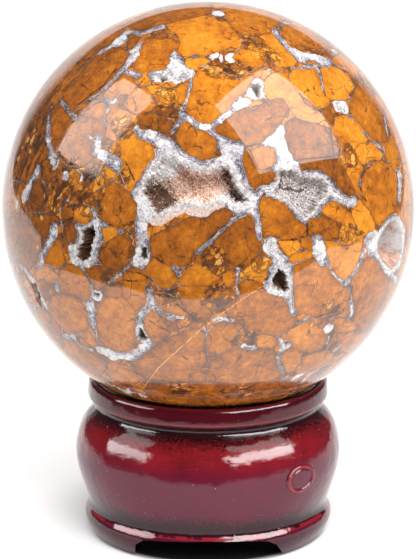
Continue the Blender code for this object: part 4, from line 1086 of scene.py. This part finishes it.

# The crystal linings.
# Each open hollow is lined with one crust of quartz, grown there before the stone was cut: a
# sugary skin over the wall, thick with small six-sided points, whiter at the mouth.

# For each crust: how many points, their least and greatest width in millimetres, how pale it is
# (tone), where it is stained brown, and where painted shade darkens its deep parts and shaded walls:
# reach and line. Less sparkle gives a smoother skin, a greater mouth a narrower white edge, and
# less stain a weaker brown.
CRUSTS = {
    "main_hollow": {
        "points": 3400, "width": (0.16, 0.36), "tone": 0.22,
        "brown": [
            (3.4, [(-6.6, 1.6), (-3.4, 4.6), (-0.6, 3.4)]), (2.6, [(-1.6, 6.2), (2.6, 5.0)]),
            (3.2, [(-9.6, 1.4), (-7.0, 0.6)]),
        ],
        "painted_shade": [
            (2.9, [(-11.4, 2.4), (-9.8, 1.6), (-9.0, -0.6)]), (1.0, [(3.4, 6.8), (4.4, 4.4), (5.4, 2.3)]),
            (1.7, [(5.4, 2.1), (6.6, 0.9)]), (0.9, [(-8.6, 2.2), (-6.8, 1.0)]),
        ],
    },
    "side_basin": {
        "points": 1100, "width": (0.14, 0.34), "tone": -0.14, "sparkle": 0.7,
        "brown": [],
        "painted_shade": [
            (0.20, [(14.4, 3.9), (15.6, 3.1), (16.8, 3.3), (18.2, 2.7), (19.4, 3.0)]),
            (0.28, [(15.0, 6.2), (14.8, 5.2), (15.2, 4.2)]),
        ],
    },
    "right_bowl": {
        "points": 60, "width": (0.10, 0.18), "tone": -0.10, "sparkle": 0.3, "mouth": 2.5, "stain": 0.34,
        "smooth": True,
        "brown": [(1.6, [(34.0, -9.8), (35.6, -11.4), (36.8, -10.0)]), (0.9, [(35.2, -3.8), (36.6, -4.4)])],
        "painted_shade": [(0.4, [(34.4, -4.2), (33.5, -6.2), (33.1, -8.2), (33.9, -10.2), (35.0, -11.6)])],
    },
    "left_pocket": {
        "points": 420, "width": (0.14, 0.30), "tone": -0.1, "mouth": 3.0,
        "brown": [(1.4, [(-22.8, -6.4), (-24.4, -9.2)])],
        "painted_shade": [(2.6, [(-23.2, -5.4), (-23.4, -7.2), (-24.2, -9.0), (-24.4, -10.2)])],
    },
    "lower_pocket": {
        "points": 380, "width": (0.14, 0.32), "tone": -0.1, "mouth": 2.0,
        "brown": [(1.4, [(14.6, -14.0), (14.6, -15.4)])],
        "painted_shade": [(1.9, [(14.5, -13.9), (14.7, -15.6), (13.8, -15.2)])],
    },
    "back_hollow": {
        "points": 1300, "width": (0.18, 0.42), "tone": 0.0,
        "brown": [(3.0, [(8.6, 6.4), (10.4, 5.6)])],
        "painted_shade": [(1.4, [(8.6, 6.4), (9.4, 6.0)])],
    },
}
CRUST_THICK = 0.00022
# How far a crust's skin stands off the stone, and how much further its grains may rise, in metres.
CRUST_OFF = 0.00003
CRUST_GRAINS = 0.00016
# Crystals whiten this near the mouth.
MOUTH_MM = 0.55
SMOOTH_UNDER_DEG = 35


def crystal_point():
    """Corners and faces of one six-sided quartz point, one unit wide and two long, standing on z."""
    bpy.ops.mesh.primitive_circle_add(vertices=6, radius=0.5, fill_type="NGON")
    point = bpy.context.object
    bpy.ops.object.mode_set(mode="EDIT")
    bpy.ops.mesh.select_all(action="SELECT")
    bpy.ops.mesh.extrude_region_move(TRANSFORM_OT_translate={"value": (0, 0, 1.35)})
    bpy.ops.mesh.extrude_region_move(TRANSFORM_OT_translate={"value": (0, 0, 0.65)})
    bpy.ops.mesh.merge(type="CENTER")
    bpy.ops.mesh.select_all(action="SELECT")
    bpy.ops.mesh.normals_make_consistent(inside=False)
    bpy.ops.object.mode_set(mode="OBJECT")
    corners = vertex_places(point.data)
    faces = [tuple(face.vertices) for face in point.data.polygons]
    bpy.data.objects.remove(point)
    return corners, faces


def soft_lines(directions, lines, turn):
    """1 along each line, falling to 0 at its reach."""
    strength = np.zeros(len(directions))
    for reach, line in lines:
        off = along_line(directions, line, turn)
        strength = np.maximum(strength, soft_edge(off, reach * SPOT_SPREAD))
    return strength


def crystal_finish():
    """Clear to milky quartz, stained pink-brown by iron on the back wall, with painted shade in the deep.
    """
    finish, shader = new_finish("quartz_crystals")
    place = node("ShaderNodeTexCoord", output="Object")
    speckle = grain(2600, 3, place, 0.75)
    glint = carried("glint")
    sparkle = carried("sparkle")
    shade = ((speckle - 0.5) * 1.8 + (glint - 0.5) * 1.3) * sparkle + sparkle * 0.12 + 0.46
    milky = node("ShaderNodeValToRGB", {"stops": [
        (0.0, (0.270, 0.230, 0.220)), (0.3, (0.530, 0.485, 0.480)), (0.6, (0.800, 0.760, 0.750)),
        (1.0, (0.960, 0.940, 0.930)),
    ]}, {"Fac": shade})
    stained = node("ShaderNodeValToRGB", {"stops": [
        (0.0, (0.220, 0.050, 0.022)), (0.25, (0.460, 0.200, 0.120)), (0.5, (0.720, 0.430, 0.300)),
        (0.75, (0.860, 0.640, 0.510)), (1.0, (0.950, 0.860, 0.780)),
    ]}, {"Fac": shade + (grain(500, 3, place) - 0.5) * 0.5})
    brown = step(carried("brown") + (grain(600, 3, place) - 0.5) * 0.6 + (0.5 - glint) * 0.5, 0.1, 0.6)
    # Painted shade: the deep parts and shaded walls of the hollow go dark brown to black.
    painted_shade = carried("painted_shade") + (grain(700, 4, place, 0.7) - 0.5) * 1.4 + (0.5 - glint) * 0.8
    painted_shade = step(painted_shade, 0.15, 0.75)
    colour = blend(brown, milky, stained)
    colour = blend(painted_shade * 0.92, colour, blend(glint, (0.036, 0.017, 0.009), (0.190, 0.084, 0.042)))
    mouth = carried("from_mouth") + (grain(700, 2, place) - 0.5) * 0.9
    mouth = step(mouth, MOUTH_MM + 0.15, MOUTH_MM - 0.4)
    colour = blend(mouth * 0.6, colour, milky)
    bump = {"Strength": 0.6, "Distance": 0.00005, "Height": speckle}
    bump = node("ShaderNodeBump", None, bump, output="Normal")
    feed(shader, Base_Color=colour, Roughness=0.34 - glint * 0.22, Normal=bump, IOR=1.54)
    return finish


point_corners, point_faces = crystal_point()
quartz = crystal_finish()
for number, (name, crust_plan) in enumerate(CRUSTS.items()):
    hollow = HOLLOWS[name]
    chooser = np.random.default_rng(100 + number)
    from_mouth = inside_hollows[name]
    corners_of = np.empty(len(ball.data.loops), int)
    ball.data.loops.foreach_get("vertex_index", corners_of)
    starts = np.empty(len(ball.data.polygons), int)
    ball.data.polygons.foreach_get("loop_start", starts)
    lowest = np.minimum.reduceat(from_mouth[corners_of], starts)
    bpy.ops.object.select_all(action="DESELECT")
    ball.select_set(True)
    bpy.context.view_layer.objects.active = ball
    bpy.context.tool_settings.mesh_select_mode = (False, False, True)
    mark(ball.data, "skin_index", np.arange(len(skin)))
    select_faces(ball.data, lowest > -0.02)
    bpy.ops.object.mode_set(mode="EDIT")
    bpy.ops.mesh.duplicate()
    bpy.ops.mesh.separate(type="SELECTED")
    bpy.ops.object.mode_set(mode="OBJECT")
    crust = [piece for piece in bpy.context.selected_objects if piece is not ball][0]
    crust.name = name + "_crystal_crust"
    crust.data.name = crust.name
    # The copy drops what the frame noted on the ball.
    for note in list(crust.keys()):
        del crust[note]
    own = np.empty(len(crust.data.vertices), np.float32)
    crust.data.attributes["skin_index"].data.foreach_get("value", own)
    own = np.rint(own).astype(int)
    for field in list(fields) + ["skin_index"]:
        crust.data.attributes.remove(crust.data.attributes[field])
    directions = skin[own]
    mouth = from_mouth[own]
    mouth_mark = mouth * crust_plan.get("mouth", 1.0)
    brown = soft_lines(directions, crust_plan["brown"], hollow["turn"]) * crust_plan.get("stain", 1.0)
    painted_shade = soft_lines(directions, crust_plan["painted_shade"], hollow["turn"])
    places = vertex_places(crust.data)
    normals = np.empty(places.size)
    crust.data.vertices.foreach_get("normal", normals)
    normals = normals.reshape(-1, 3)
    sparkle = crust_plan.get("sparkle", 1.0)
    uneven = 0.8 + chooser.uniform(-0.5, 0.5, len(places)) * sparkle
    lift = CRUST_OFF + CRUST_GRAINS * sparkle * np.clip(mouth / 0.5, 0, 1) * uneven
    crust.data.vertices.foreach_set("co", (places + normals * lift[:, None]).ravel())
    mark(crust.data, "brown", brown)
    mark(crust.data, "painted_shade", painted_shade)
    mark(crust.data, "from_mouth", mouth_mark)
    mark(crust.data, "sparkle", np.full(len(places), sparkle))
    glint = 0.3 + chooser.uniform(-0.3, 0.3, len(places)) * sparkle
    mark(crust.data, "glint", glint + crust_plan["tone"])
    crust.data.update()

    # Points stand all over the crust, each leaning a little its own way.
    areas = np.empty(len(crust.data.polygons))
    crust.data.polygons.foreach_get("area", areas)
    seats = np.array([face.vertices[:3] for face in crust.data.polygons])
    picked = chooser.choice(len(areas), crust_plan["points"], p=areas / areas.sum())
    shares = chooser.dirichlet((1, 1, 1), crust_plan["points"])
    foot = (places[seats[picked]] * shares[:, :, None]).sum(axis=1)
    axis = normals[seats[picked]].mean(axis=1) + chooser.normal(0, 0.38, (len(picked), 3))
    axis /= np.linalg.norm(axis, axis=1)[:, None]
    width = chooser.uniform(*crust_plan["width"], len(picked)) / 1000
    near_mouth = np.clip(mouth[seats[picked]].mean(axis=1) / 0.8, 0.35, 1)
    width *= near_mouth
    long = width * chooser.uniform(0.55, 1.05, len(picked))
    spin = chooser.uniform(0, 2 * math.pi, len(picked))
    side = np.cross(axis, (0.31, 0.52, 0.79))
    side /= np.linalg.norm(side, axis=1)[:, None]
    other = np.cross(axis, side)
    first = side * np.cos(spin)[:, None] + other * np.sin(spin)[:, None]
    second = np.cross(axis, first)
    local = point_corners[None, :, :]
    sideways = local[:, :, :1] * first[:, None, :] + local[:, :, 1:2] * second[:, None, :]
    grown_points = (
        foot[:, None, :]
        + sideways * width[:, None, None]
        + (local[:, :, 2:] - 0.7) * axis[:, None, :] * long[:, None, None]
    )
    count = len(point_corners)
    all_faces = []
    for first_corner in range(0, len(picked) * count, count):
        all_faces += [tuple(corner + first_corner for corner in face) for face in point_faces]
    druse = bpy.data.meshes.new(name + "_points")
    druse.from_pydata(grown_points.reshape(-1, 3), [], all_faces)
    for label, values in (("brown", brown), ("painted_shade", painted_shade), ("from_mouth", mouth_mark)):
        mark(druse, label, np.repeat(values[seats[picked]].mean(axis=1), count))
    glint = chooser.uniform(0, 1, len(picked)) ** 1.3
    mark(druse, "glint", np.repeat(glint + crust_plan["tone"], count))
    mark(druse, "sparkle", np.full(len(druse.vertices), sparkle))
    points = bpy.data.objects.new(name + "_points", druse)
    bpy.context.scene.collection.objects.link(points)

    bpy.ops.object.select_all(action="DESELECT")
    crust.select_set(True)
    bpy.context.view_layer.objects.active = crust
    thickness = crust.modifiers.new("Back", "SOLIDIFY")
    thickness.thickness = CRUST_THICK
    thickness.offset = -1.0
    bpy.ops.object.modifier_apply(modifier="Back")
    points.select_set(True)
    bpy.ops.object.join()
    bpy.ops.object.shade_flat()
    if crust_plan.get("smooth"):
        bpy.ops.object.shade_smooth_by_angle(angle=math.radians(SMOOTH_UNDER_DEG))
    crust.data.materials.clear()
    crust.data.materials.append(quartz)
    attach(crust, "root")
    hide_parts(name + "_crystals")
ball.data.attributes.remove(ball.data.attributes["skin_index"])

# The stand.
# One block of soft wood turned on a lathe: a dished collar, a neck, a round belly, a waist and a
# bead, with the foot ring cut away in three arches. It is dipped in thick cherry lacquer, which
# has sunk into the grain and worn to bare red on the moulding; the red lines on the collar's edges
# are painted highlights.

# Radius and height of the turned outline, in millimetres, from the dish round to the underside.
TURNED_OUTLINE = [
    (0, 23.4), (9.0, 23.4), (9.6, 23.7), (10.2, 24.4), (16.0, 27.7), (21.6, 30.85), (22.1, 31.2),
    (22.7, 31.2), (23.2, 30.95), (23.42, 30.4), (23.52, 29.3), (23.60, 28.2), (23.4, 27.5), (22.8, 27.1),
    (22.2, 26.9), (21.9, 26.5), (21.85, 26.0), (22.1, 25.3), (22.9, 24.6), (23.8, 23.7), (24.65, 22.5),
    (25.3, 21.0), (25.8, 19.2), (26.1, 17.1), (25.95, 14.9), (25.5, 12.7), (24.8, 10.5), (24.0, 8.4),
    (23.5, 7.1), (23.4, 6.3), (23.6, 5.6), (24.05, 4.9), (24.25, 4.1), (24.2, 3.2), (23.8, 2.1),
    (23.1, 0.9), (22.5, 0.15), (22.0, 0.0), (19.8, 0.0), (18.0, 0.0), (17.6, 0.3), (17.5, 2.4),
    (17.3, 4.4), (16.6, 4.6), (8.0, 4.6), (0, 4.6),
]
TURNED_SIDES = 64
# The arch between two feet, seen from the front: across and height in millimetres.
ARCH = [
    (-14.2, -1.0), (14.5, -1.0), (14.3, 1.0), (13.3, 3.1), (11.5, 4.2), (7.0, 4.75), (0.0, 5.0),
    (-7.0, 4.7), (-12.5, 4.2), (-14.0, 2.9),
]
ARCH_NEAR = 12.0
ARCH_FAR = 30.0
SHARP_OVER_DEG = 38


def chain(name, places):
    """A mesh of one line of edges through these places, drawn by extruding its first corner."""
    bpy.context.tool_settings.mesh_select_mode = (True, False, False)
    bpy.ops.mesh.primitive_plane_add(size=0.001)
    line = bpy.context.object
    line.name = name
    line.data.name = name
    bpy.ops.object.mode_set(mode="EDIT")
    bpy.ops.mesh.merge(type="CENTER")
    bpy.ops.transform.translate(value=places[0])
    for here, there in zip(places, places[1:]):
        move = Vector(there) - Vector(here)
        bpy.ops.mesh.extrude_region_move(TRANSFORM_OT_translate={"value": move})
    bpy.ops.object.mode_set(mode="OBJECT")
    return line


def apply_modifier(piece, kind, **settings):
    modifier = piece.modifiers.new(kind.title(), kind)
    for name, value in settings.items():
        setattr(modifier, name, value)
    bpy.context.view_layer.objects.active = piece
    bpy.ops.object.modifier_apply(modifier=modifier.name)


stand = chain("turned_stand", [(radius / 1000, 0, height / 1000) for radius, height in TURNED_OUTLINE])
bpy.ops.object.mode_set(mode="EDIT")
bpy.ops.mesh.select_all(action="SELECT")
bpy.ops.mesh.spin(steps=TURNED_SIDES, angle=2 * math.pi, center=(0, 0, 0), axis=(0, 0, 1))
bpy.ops.mesh.select_all(action="SELECT")
bpy.ops.mesh.remove_doubles(threshold=0.00001)
bpy.ops.mesh.normals_make_consistent(inside=False)
bpy.ops.object.mode_set(mode="OBJECT")
apply_modifier(stand, "SUBSURF", levels=2, render_levels=2)
for vertex in stand.data.vertices:
    out = Vector((vertex.co.x, vertex.co.y, 0))
    if out.length > 0.015:
        swell = noise.noise(vertex.co * 90) * 0.00010 + noise.noise(vertex.co * 260) * 0.00003
        vertex.co += out.normalized() * min(swell, 0.00004)
for index in range(3):
    turn = 2 * math.pi * index / 3
    places = [(across / 1000, -ARCH_NEAR / 1000, height / 1000) for across, height in ARCH]
    arch = chain("arch_cutter", places + places[:1])
    bpy.ops.object.mode_set(mode="EDIT")
    bpy.ops.mesh.select_all(action="SELECT")
    bpy.ops.mesh.remove_doubles(threshold=0.00001)
    bpy.ops.mesh.edge_face_add()
    through = (0, (ARCH_NEAR - ARCH_FAR) / 1000, 0)
    bpy.ops.mesh.extrude_region_move(TRANSFORM_OT_translate={"value": through})
    bpy.ops.mesh.select_all(action="SELECT")
    bpy.ops.mesh.normals_make_consistent(inside=False)
    bpy.ops.object.mode_set(mode="OBJECT")
    arch.rotation_euler.z = turn
    bpy.ops.object.transform_apply(location=False, rotation=True, scale=False)
    apply_modifier(stand, "BOOLEAN", operation="DIFFERENCE", object=arch, solver="EXACT")
    bpy.data.objects.remove(arch)
bpy.ops.object.select_all(action="DESELECT")
stand.select_set(True)
bpy.context.view_layer.objects.active = stand
bpy.ops.object.shade_smooth_by_angle(angle=math.radians(SHARP_OVER_DEG))


def lacquer_finish(name, ridged=False):
    """Cherry lacquer over turned wood: smoky in the neck and waist, worn to red on the moulding.
    Painted shade darkens the neck, waist, foot and lower belly; painted highlights line the collar's edges.
    """
    finish, shader = new_finish(name)
    place = node("ShaderNodeTexCoord", output="Object")
    height = node("ShaderNodeSeparateXYZ", None, {"Vector": place}, output="Z") * 1000
    wander = (grain(60, 3, place) - 0.5) * 2.4 + (grain(420, 4, place, 0.65) - 0.5) * 1.6
    level = height + wander
    laid = node("ShaderNodeMapping", None, {"Vector": place, "Scale": (1, 1, 7)})
    fibres = grain(330, 6, laid, 0.65)
    fine_fibres = grain(1500, 4, laid, 0.6)
    patches = grain(110, 4, place, 0.6)
    depth = (patches - 0.5) * 0.7 + (fibres - 0.5) * 0.6 + (fine_fibres - 0.5) * 0.3 + 0.5
    cherry = node("ShaderNodeValToRGB", {"stops": [
        (0.0, (0.065, 0.003, 0.006)), (0.35, (0.135, 0.006, 0.010)), (0.65, (0.240, 0.010, 0.014)),
        (1.0, (0.400, 0.024, 0.026)),
    ]}, {"Fac": depth})
    # Below the belly's widest part the lacquer is painted darker and purple: painted shade, with the purple
    # of the floor's reflection painted in.
    low = step(level, 22.0, 16.5)
    cherry = blend(low * 0.8, cherry, (0.075, 0.007, 0.026))

    # The dark spray lies in the neck, the waist and the arches, and thins out in fine dots. In the neck
    # under the collar and in the waist it also stands in for shade: painted shade.
    dots = (grain(1900, 2, place, 0.7) - 0.5) * 5.0
    neck = step(level + dots, 22.6, 25.2) * step(height, 27.6, 26.8)
    waist = step(level + dots, 10.4, 7.4) * step(level + dots * 0.2, 5.0, 5.7)
    spray_and_painted_shade = greater(neck, waist * 0.92)
    colour = blend(step(height, 26.6, 27.6) * 0.8, cherry, (0.034, 0.002, 0.007))
    # The foot under the moulding is painted darker: painted shade beneath the overhang.
    foot = step(level, 5.6, 3.6)
    colour = blend(foot * 0.85, colour, (0.034, 0.002, 0.006))
    colour = blend(spray_and_painted_shade * 0.92, colour, (0.008, 0.002, 0.004))

    # Worn and lit edges: painted highlight lines along the collar's two edges, and wear on the moulding,
    # where the spray ends in short tongues.
    tongues = node("ShaderNodeMapping", None, {"Vector": place, "Scale": (1, 1, 0.1)})
    tongue = step(grain(420, 1, tongues), 0.53, 0.57) * 0.5
    wear_and_painted_highlight = step(height + tongue + wander * 0.12, 5.80, 5.60)
    wear_and_painted_highlight = wear_and_painted_highlight * step(height + wander * 0.12, 4.95, 5.15) * 0.6
    # Painted highlights: lighter red lines along the collar's lower and upper edges.
    wear_and_painted_highlight = greater(wear_and_painted_highlight, step(maths("ABSOLUTE", height - 28.0), 0.28, 0.06) * 0.4)
    wear_and_painted_highlight = greater(wear_and_painted_highlight, step(maths("ABSOLUTE", height - 31.0), 0.25, 0.05) * 0.25)
    if ridged:
        wear_and_painted_highlight = greater(wear_and_painted_highlight, step(carried("ridge"), 0.10, 0.26) * (0.45 + (fibres - 0.5) * 1.5))
        # The grooves beside the plug's ring are painted darker: painted shade. Its raised ring takes the
        # lighter red of the edges.
        colour = blend(step(carried("ridge"), 0.06, -0.02) * 0.75, colour, (0.020, 0.002, 0.004))
    colour = blend(wear_and_painted_highlight, colour, (0.330, 0.014, 0.020))
    dust = step(grain(2600, 1, place), 0.765, 0.79) * step(grain(700, 2, place), 0.50, 0.56)
    colour = blend(dust * 0.85, colour, (0.75, 0.62, 0.62))
    gloss = 0.03 + spray_and_painted_shade * 0.04 + dust * 0.5 + step(height, 5.0, 3.5) * 0.15
    relief = (fibres - 0.5) * 0.45 + (fine_fibres - 0.5) * 0.05 + dust * 0.5
    relief = relief + (grain(380, 2, place) - 0.5) * 2.2 + (grain(110, 2, place) - 0.5) * 3.0
    bump = {"Strength": 0.5, "Distance": 0.0001, "Height": relief}
    bump = node("ShaderNodeBump", None, bump, output="Normal")
    feed(shader, Base_Color=colour, Roughness=gloss, Normal=bump, IOR=1.42)
    return finish


stand.data.materials.append(lacquer_finish("cherry_lacquer"))
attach(stand, "root")
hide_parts("wooden_stand")

# The plug.
# A wooden button let into the belly over the hole where the block was held, with a turned ring
# round its edge, lacquered over with the rest.
PLUG_TURN_DEG = 43.7
PLUG_HEIGHT = 16.0
PLUG_WIDTH = 3.9
PLUG_RISE = 2.95
# The rings of its mesh, from the edge inwards, as shares of its width.
PLUG_RINGS = (
    0.98, 0.95, 0.92, 0.88, 0.84, 0.81, 0.78, 0.75, 0.72, 0.69, 0.66, 0.62, 0.58, 0.54, 0.50, 0.3,
)
# How far the button stands out of the belly, from its middle to its edge, in millimetres.
PLUG_RELIEF = [
    (0.0, 0.12), (0.50, 0.10), (0.58, 0.12), (0.63, 0.06), (0.67, 0.00), (0.70, 0.02), (0.76, 0.26),
    (0.85, 0.34), (0.93, 0.26), (0.98, 0.02), (1.0, -0.2),
]


def belly_radius(height):
    """Radius of the turned outline at a height between its neck and its waist, in millimetres."""
    belly = sorted((z, r) for r, z in TURNED_OUTLINE if 7.0 < z < 25.0 and r > 22)
    return float(np.interp(height, [z for z, _ in belly], [r for _, r in belly]))


bpy.ops.mesh.primitive_circle_add(vertices=48, radius=1.0, fill_type="NGON")
plug = bpy.context.object
plug.name = "belly_plug"
plug.data.name = "belly_plug"
bpy.ops.object.mode_set(mode="EDIT")
reach = 1.0
for share in PLUG_RINGS:
    bpy.ops.mesh.inset(thickness=reach - share, depth=0)
    reach = share
bpy.ops.mesh.poke()
bpy.ops.object.mode_set(mode="OBJECT")
ridge = []
for vertex in plug.data.vertices:
    off = math.hypot(vertex.co.x, vertex.co.y)
    height = PLUG_HEIGHT + vertex.co.y * PLUG_RISE
    ridge.append(float(np.interp(off, *zip(*PLUG_RELIEF))) * (1 + 0.35 * noise.noise(vertex.co * 2.2)))
    radius = belly_radius(height) + ridge[-1] + 0.02
    turn = math.radians(PLUG_TURN_DEG) + vertex.co.x * PLUG_WIDTH / 26.0
    vertex.co = Vector((math.sin(turn) * radius, -math.cos(turn) * radius, height)) / 1000
mark(plug.data, "ridge", ridge)
plug.data.shade_smooth()
plug.data.materials.append(lacquer_finish("plug_lacquer", ridged=True))
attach(plug, "root")
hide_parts("stand_plug")

# The studio.
# A white table that ends a hand's breadth in front of the ball, a white sweep behind it, a dark
# room in front, and two soft boxes, high to the right and high to the left, each with a lamp that
# only the lacquer mirrors.
BALL_MIDDLE = np.array((0.0, 0.0, BALL_HEIGHT))
BOX_AWAY = 0.55
# Each box's corners, by where the ball mirrors them: (right, up) in millimetres.
RIGHT_BOX = [(1.35, 19.3), (11.3, 26.9), (26.0, 9.65), (9.96, 6.2)]
LEFT_BOX = [(-16.15, 24.9), (-10.15, 20.5), (-21.2, 5.6), (-29.1, 11.0)]
# The lacquer's own lamps: height, width and how far they hang below the box's middle, as shares
# of the box.
LAMP_HIGH = 0.5
LAMP_WIDE = 1.5
LAMP_LOWER = 0.65


def glow(name, colour, strength):
    finish, shader = new_finish(name)
    feed(shader, Base_Color=(0.0, 0.0, 0.0), Roughness=1.0)
    feed(shader, Emission_Color=colour, Emission_Strength=strength)
    return finish


def soft_box(name, corners, strength, glare, rightwards):
    """A glowing panel that shows in the ball at these corners, and over it a lamp for the lacquer,
    moved rightwards by a share of its own width."""
    normals = on_ball(corners)
    eye = seen_axes()[2] * VIEW_DISTANCE
    places = []
    for normal in normals:
        point = normal * BALL_RADIUS
        sight = (point - eye) / np.linalg.norm(point - eye)
        mirrored = sight - 2 * (sight @ normal) * normal
        places.append(Vector(BALL_MIDDLE + point + mirrored * BOX_AWAY))
    mesh = bpy.data.meshes.new(name)
    mesh.from_pydata(places, [], [(0, 1, 2, 3)])
    panel = bpy.data.objects.new(name, mesh)
    bpy.context.scene.collection.objects.link(panel)
    panel.data.materials.append(glow(name + "_glow", (1.0, 1.0, 1.0), strength))
    panel.visible_camera = False

    # Only the lacquer mirrors this lamp, because lacquer shows a hotter highlight than the ball.
    middle = sum(places, Vector()) / 4
    out = (middle - Vector(BALL_MIDDLE)).normalized()
    across = (places[1] + places[2] - places[0] - places[3]) / 2
    upwards = (places[0] + places[1] - places[2] - places[3]) / 2
    wide = across.length * LAMP_WIDE
    high = upwards.length * LAMP_HIGH
    across = (across - out * across.dot(out)).normalized()
    lamp = bpy.data.lights.new(name + "_lamp", "AREA")
    lamp.shape = "RECTANGLE"
    lamp.size, lamp.size_y = wide, high
    lamp.energy = glare * math.pi * wide * high
    over = bpy.data.objects.new(name + "_lamp", lamp)
    bpy.context.scene.collection.objects.link(over)
    over.matrix_world = Matrix((across, out.cross(across), out)).transposed().to_4x4()
    over.location = middle - out * 0.01 - upwards * LAMP_LOWER + across * wide * rightwards
    over.visible_camera = False
    over.visible_diffuse = False
    over.light_linking.receiver_collection = lacquered


lacquered = bpy.data.collections.new("lacquered")
lacquered.objects.link(stand)
lacquered.objects.link(plug)
soft_box("right_soft_box", RIGHT_BOX, strength=4.1, glare=19.0, rightwards=-0.17)
soft_box("left_soft_box", LEFT_BOX, strength=3.7, glare=12.0, rightwards=0.17)

# The white sheet under the stand, corner by corner from the front round to the back, in metres.
SHEET_RIGHT = [
    (0.12, -0.125), (0.30, -0.131), (0.29, 0.0), (0.27, 0.14), (0.35, 0.4), (0.6, 0.9), (1.5, 2.4),
]
SHEET_LEFT = [
    (-0.09, -0.102), (-0.14, -0.064), (-0.167, -0.02), (-0.172, 0.02), (-0.30, 0.05), (-0.41, 0.17),
    (-0.41, 0.45), (-0.6, 0.9), (-1.5, 2.4),
]
SHEET = [(0.0, -0.118)] + SHEET_RIGHT + SHEET_LEFT[::-1]
bpy.ops.mesh.primitive_circle_add(vertices=len(SHEET), radius=1.0, fill_type="NGON")
sheet = bpy.context.object
sheet.name = "white_sheet"
for vertex, (x, y) in zip(sheet.data.vertices, SHEET):
    vertex.co = Vector((x, y, 0))
white, shader = new_finish("white_sheet")
place = node("ShaderNodeTexCoord", output="Object")
from_middle = node("ShaderNodeVectorMath", {"operation": "LENGTH"}, {0: place}, output="Value")
behind = node("ShaderNodeSeparateXYZ", None, {"Vector": place}, output="Y")
# The sheet glows, which is painted light, brighter towards the back; close to the stand its glow is dimmed
# as painted shade, and under the stand it is black with no glow: painted shade.
open_sheet = step(from_middle, 0.0205, 0.0235)
clear_of_stand = step(from_middle, 0.022, 0.044) * 0.75 + 0.25
glow_here = (0.43 + step(behind, 0.12, 0.6) * 0.75) * open_sheet * clear_of_stand
lit = blend(glow_here, (0.0, 0.0, 0.0), (1.0, 1.0, 1.0))
sheet_with_painted_shade = blend(open_sheet, (0.02, 0.02, 0.02), (0.9, 0.9, 0.9))
feed(shader, Base_Color=sheet_with_painted_shade, Roughness=0.9, Emission_Color=lit, Emission_Strength=1.0)
sheet.data.materials.append(white)

world = bpy.data.worlds.new("studio")
bpy.context.scene.world = world
world.use_nodes = True
Wire.tree = world.node_tree
way = node("ShaderNodeTexCoord", output="Generated")
back = node("ShaderNodeSeparateXYZ", None, {"Vector": way}, output="Y")
rise = node("ShaderNodeSeparateXYZ", None, {"Vector": way}, output="Z")
sweep = step(rise, 0.31, 0.25) * step(back, 0.80, 0.92)
seen = node("ShaderNodeLightPath", output="Is Camera Ray")
glare = blend(greater(sweep, seen), (0.09, 0.09, 0.095), (1.15, 1.15, 1.15))
Wire.tree.links.new(glare.socket, world.node_tree.nodes["Background"].inputs["Color"])

# Soft light from the camera's side, which the polish doesn't mirror.
FILL_PLACE = (0.15, -0.75, 0.75)
FILL_WATTS = 11.0
FILL_WIDTH = 0.7
bpy.ops.object.light_add(type="AREA", location=FILL_PLACE)
fill = bpy.context.object
fill.name = "front_fill"
fill.data.shape = "DISK"
fill.data.size = FILL_WIDTH
fill.data.energy = FILL_WATTS
fill.rotation_euler = (Vector(FILL_PLACE) - Vector(BALL_MIDDLE)).to_track_quat("Z", "Y").to_euler()
fill.visible_glossy = False

# The camera stands where the photograph was taken from, on the ball's own line of sight.
SENSOR_MM = 36.0
LENS_MM = 266.0
# It aims this far below the ball's middle, in metres.
AIM_DOWN = 0.01387
right, up, near = seen_axes()
aim = BALL_MIDDLE - up * AIM_DOWN
lens = bpy.data.cameras.new("camera")
lens.lens = LENS_MM
lens.sensor_width = SENSOR_MM
camera = bpy.data.objects.new("camera", lens)
bpy.context.scene.collection.objects.link(camera)
camera.location = Vector(aim + near * VIEW_DISTANCE)
camera.rotation_euler = (math.radians(90 - VIEW_HEIGHT_DEG), 0, 0)
bpy.context.scene.camera = camera
bpy.context.scene.view_settings.view_transform = "Standard"
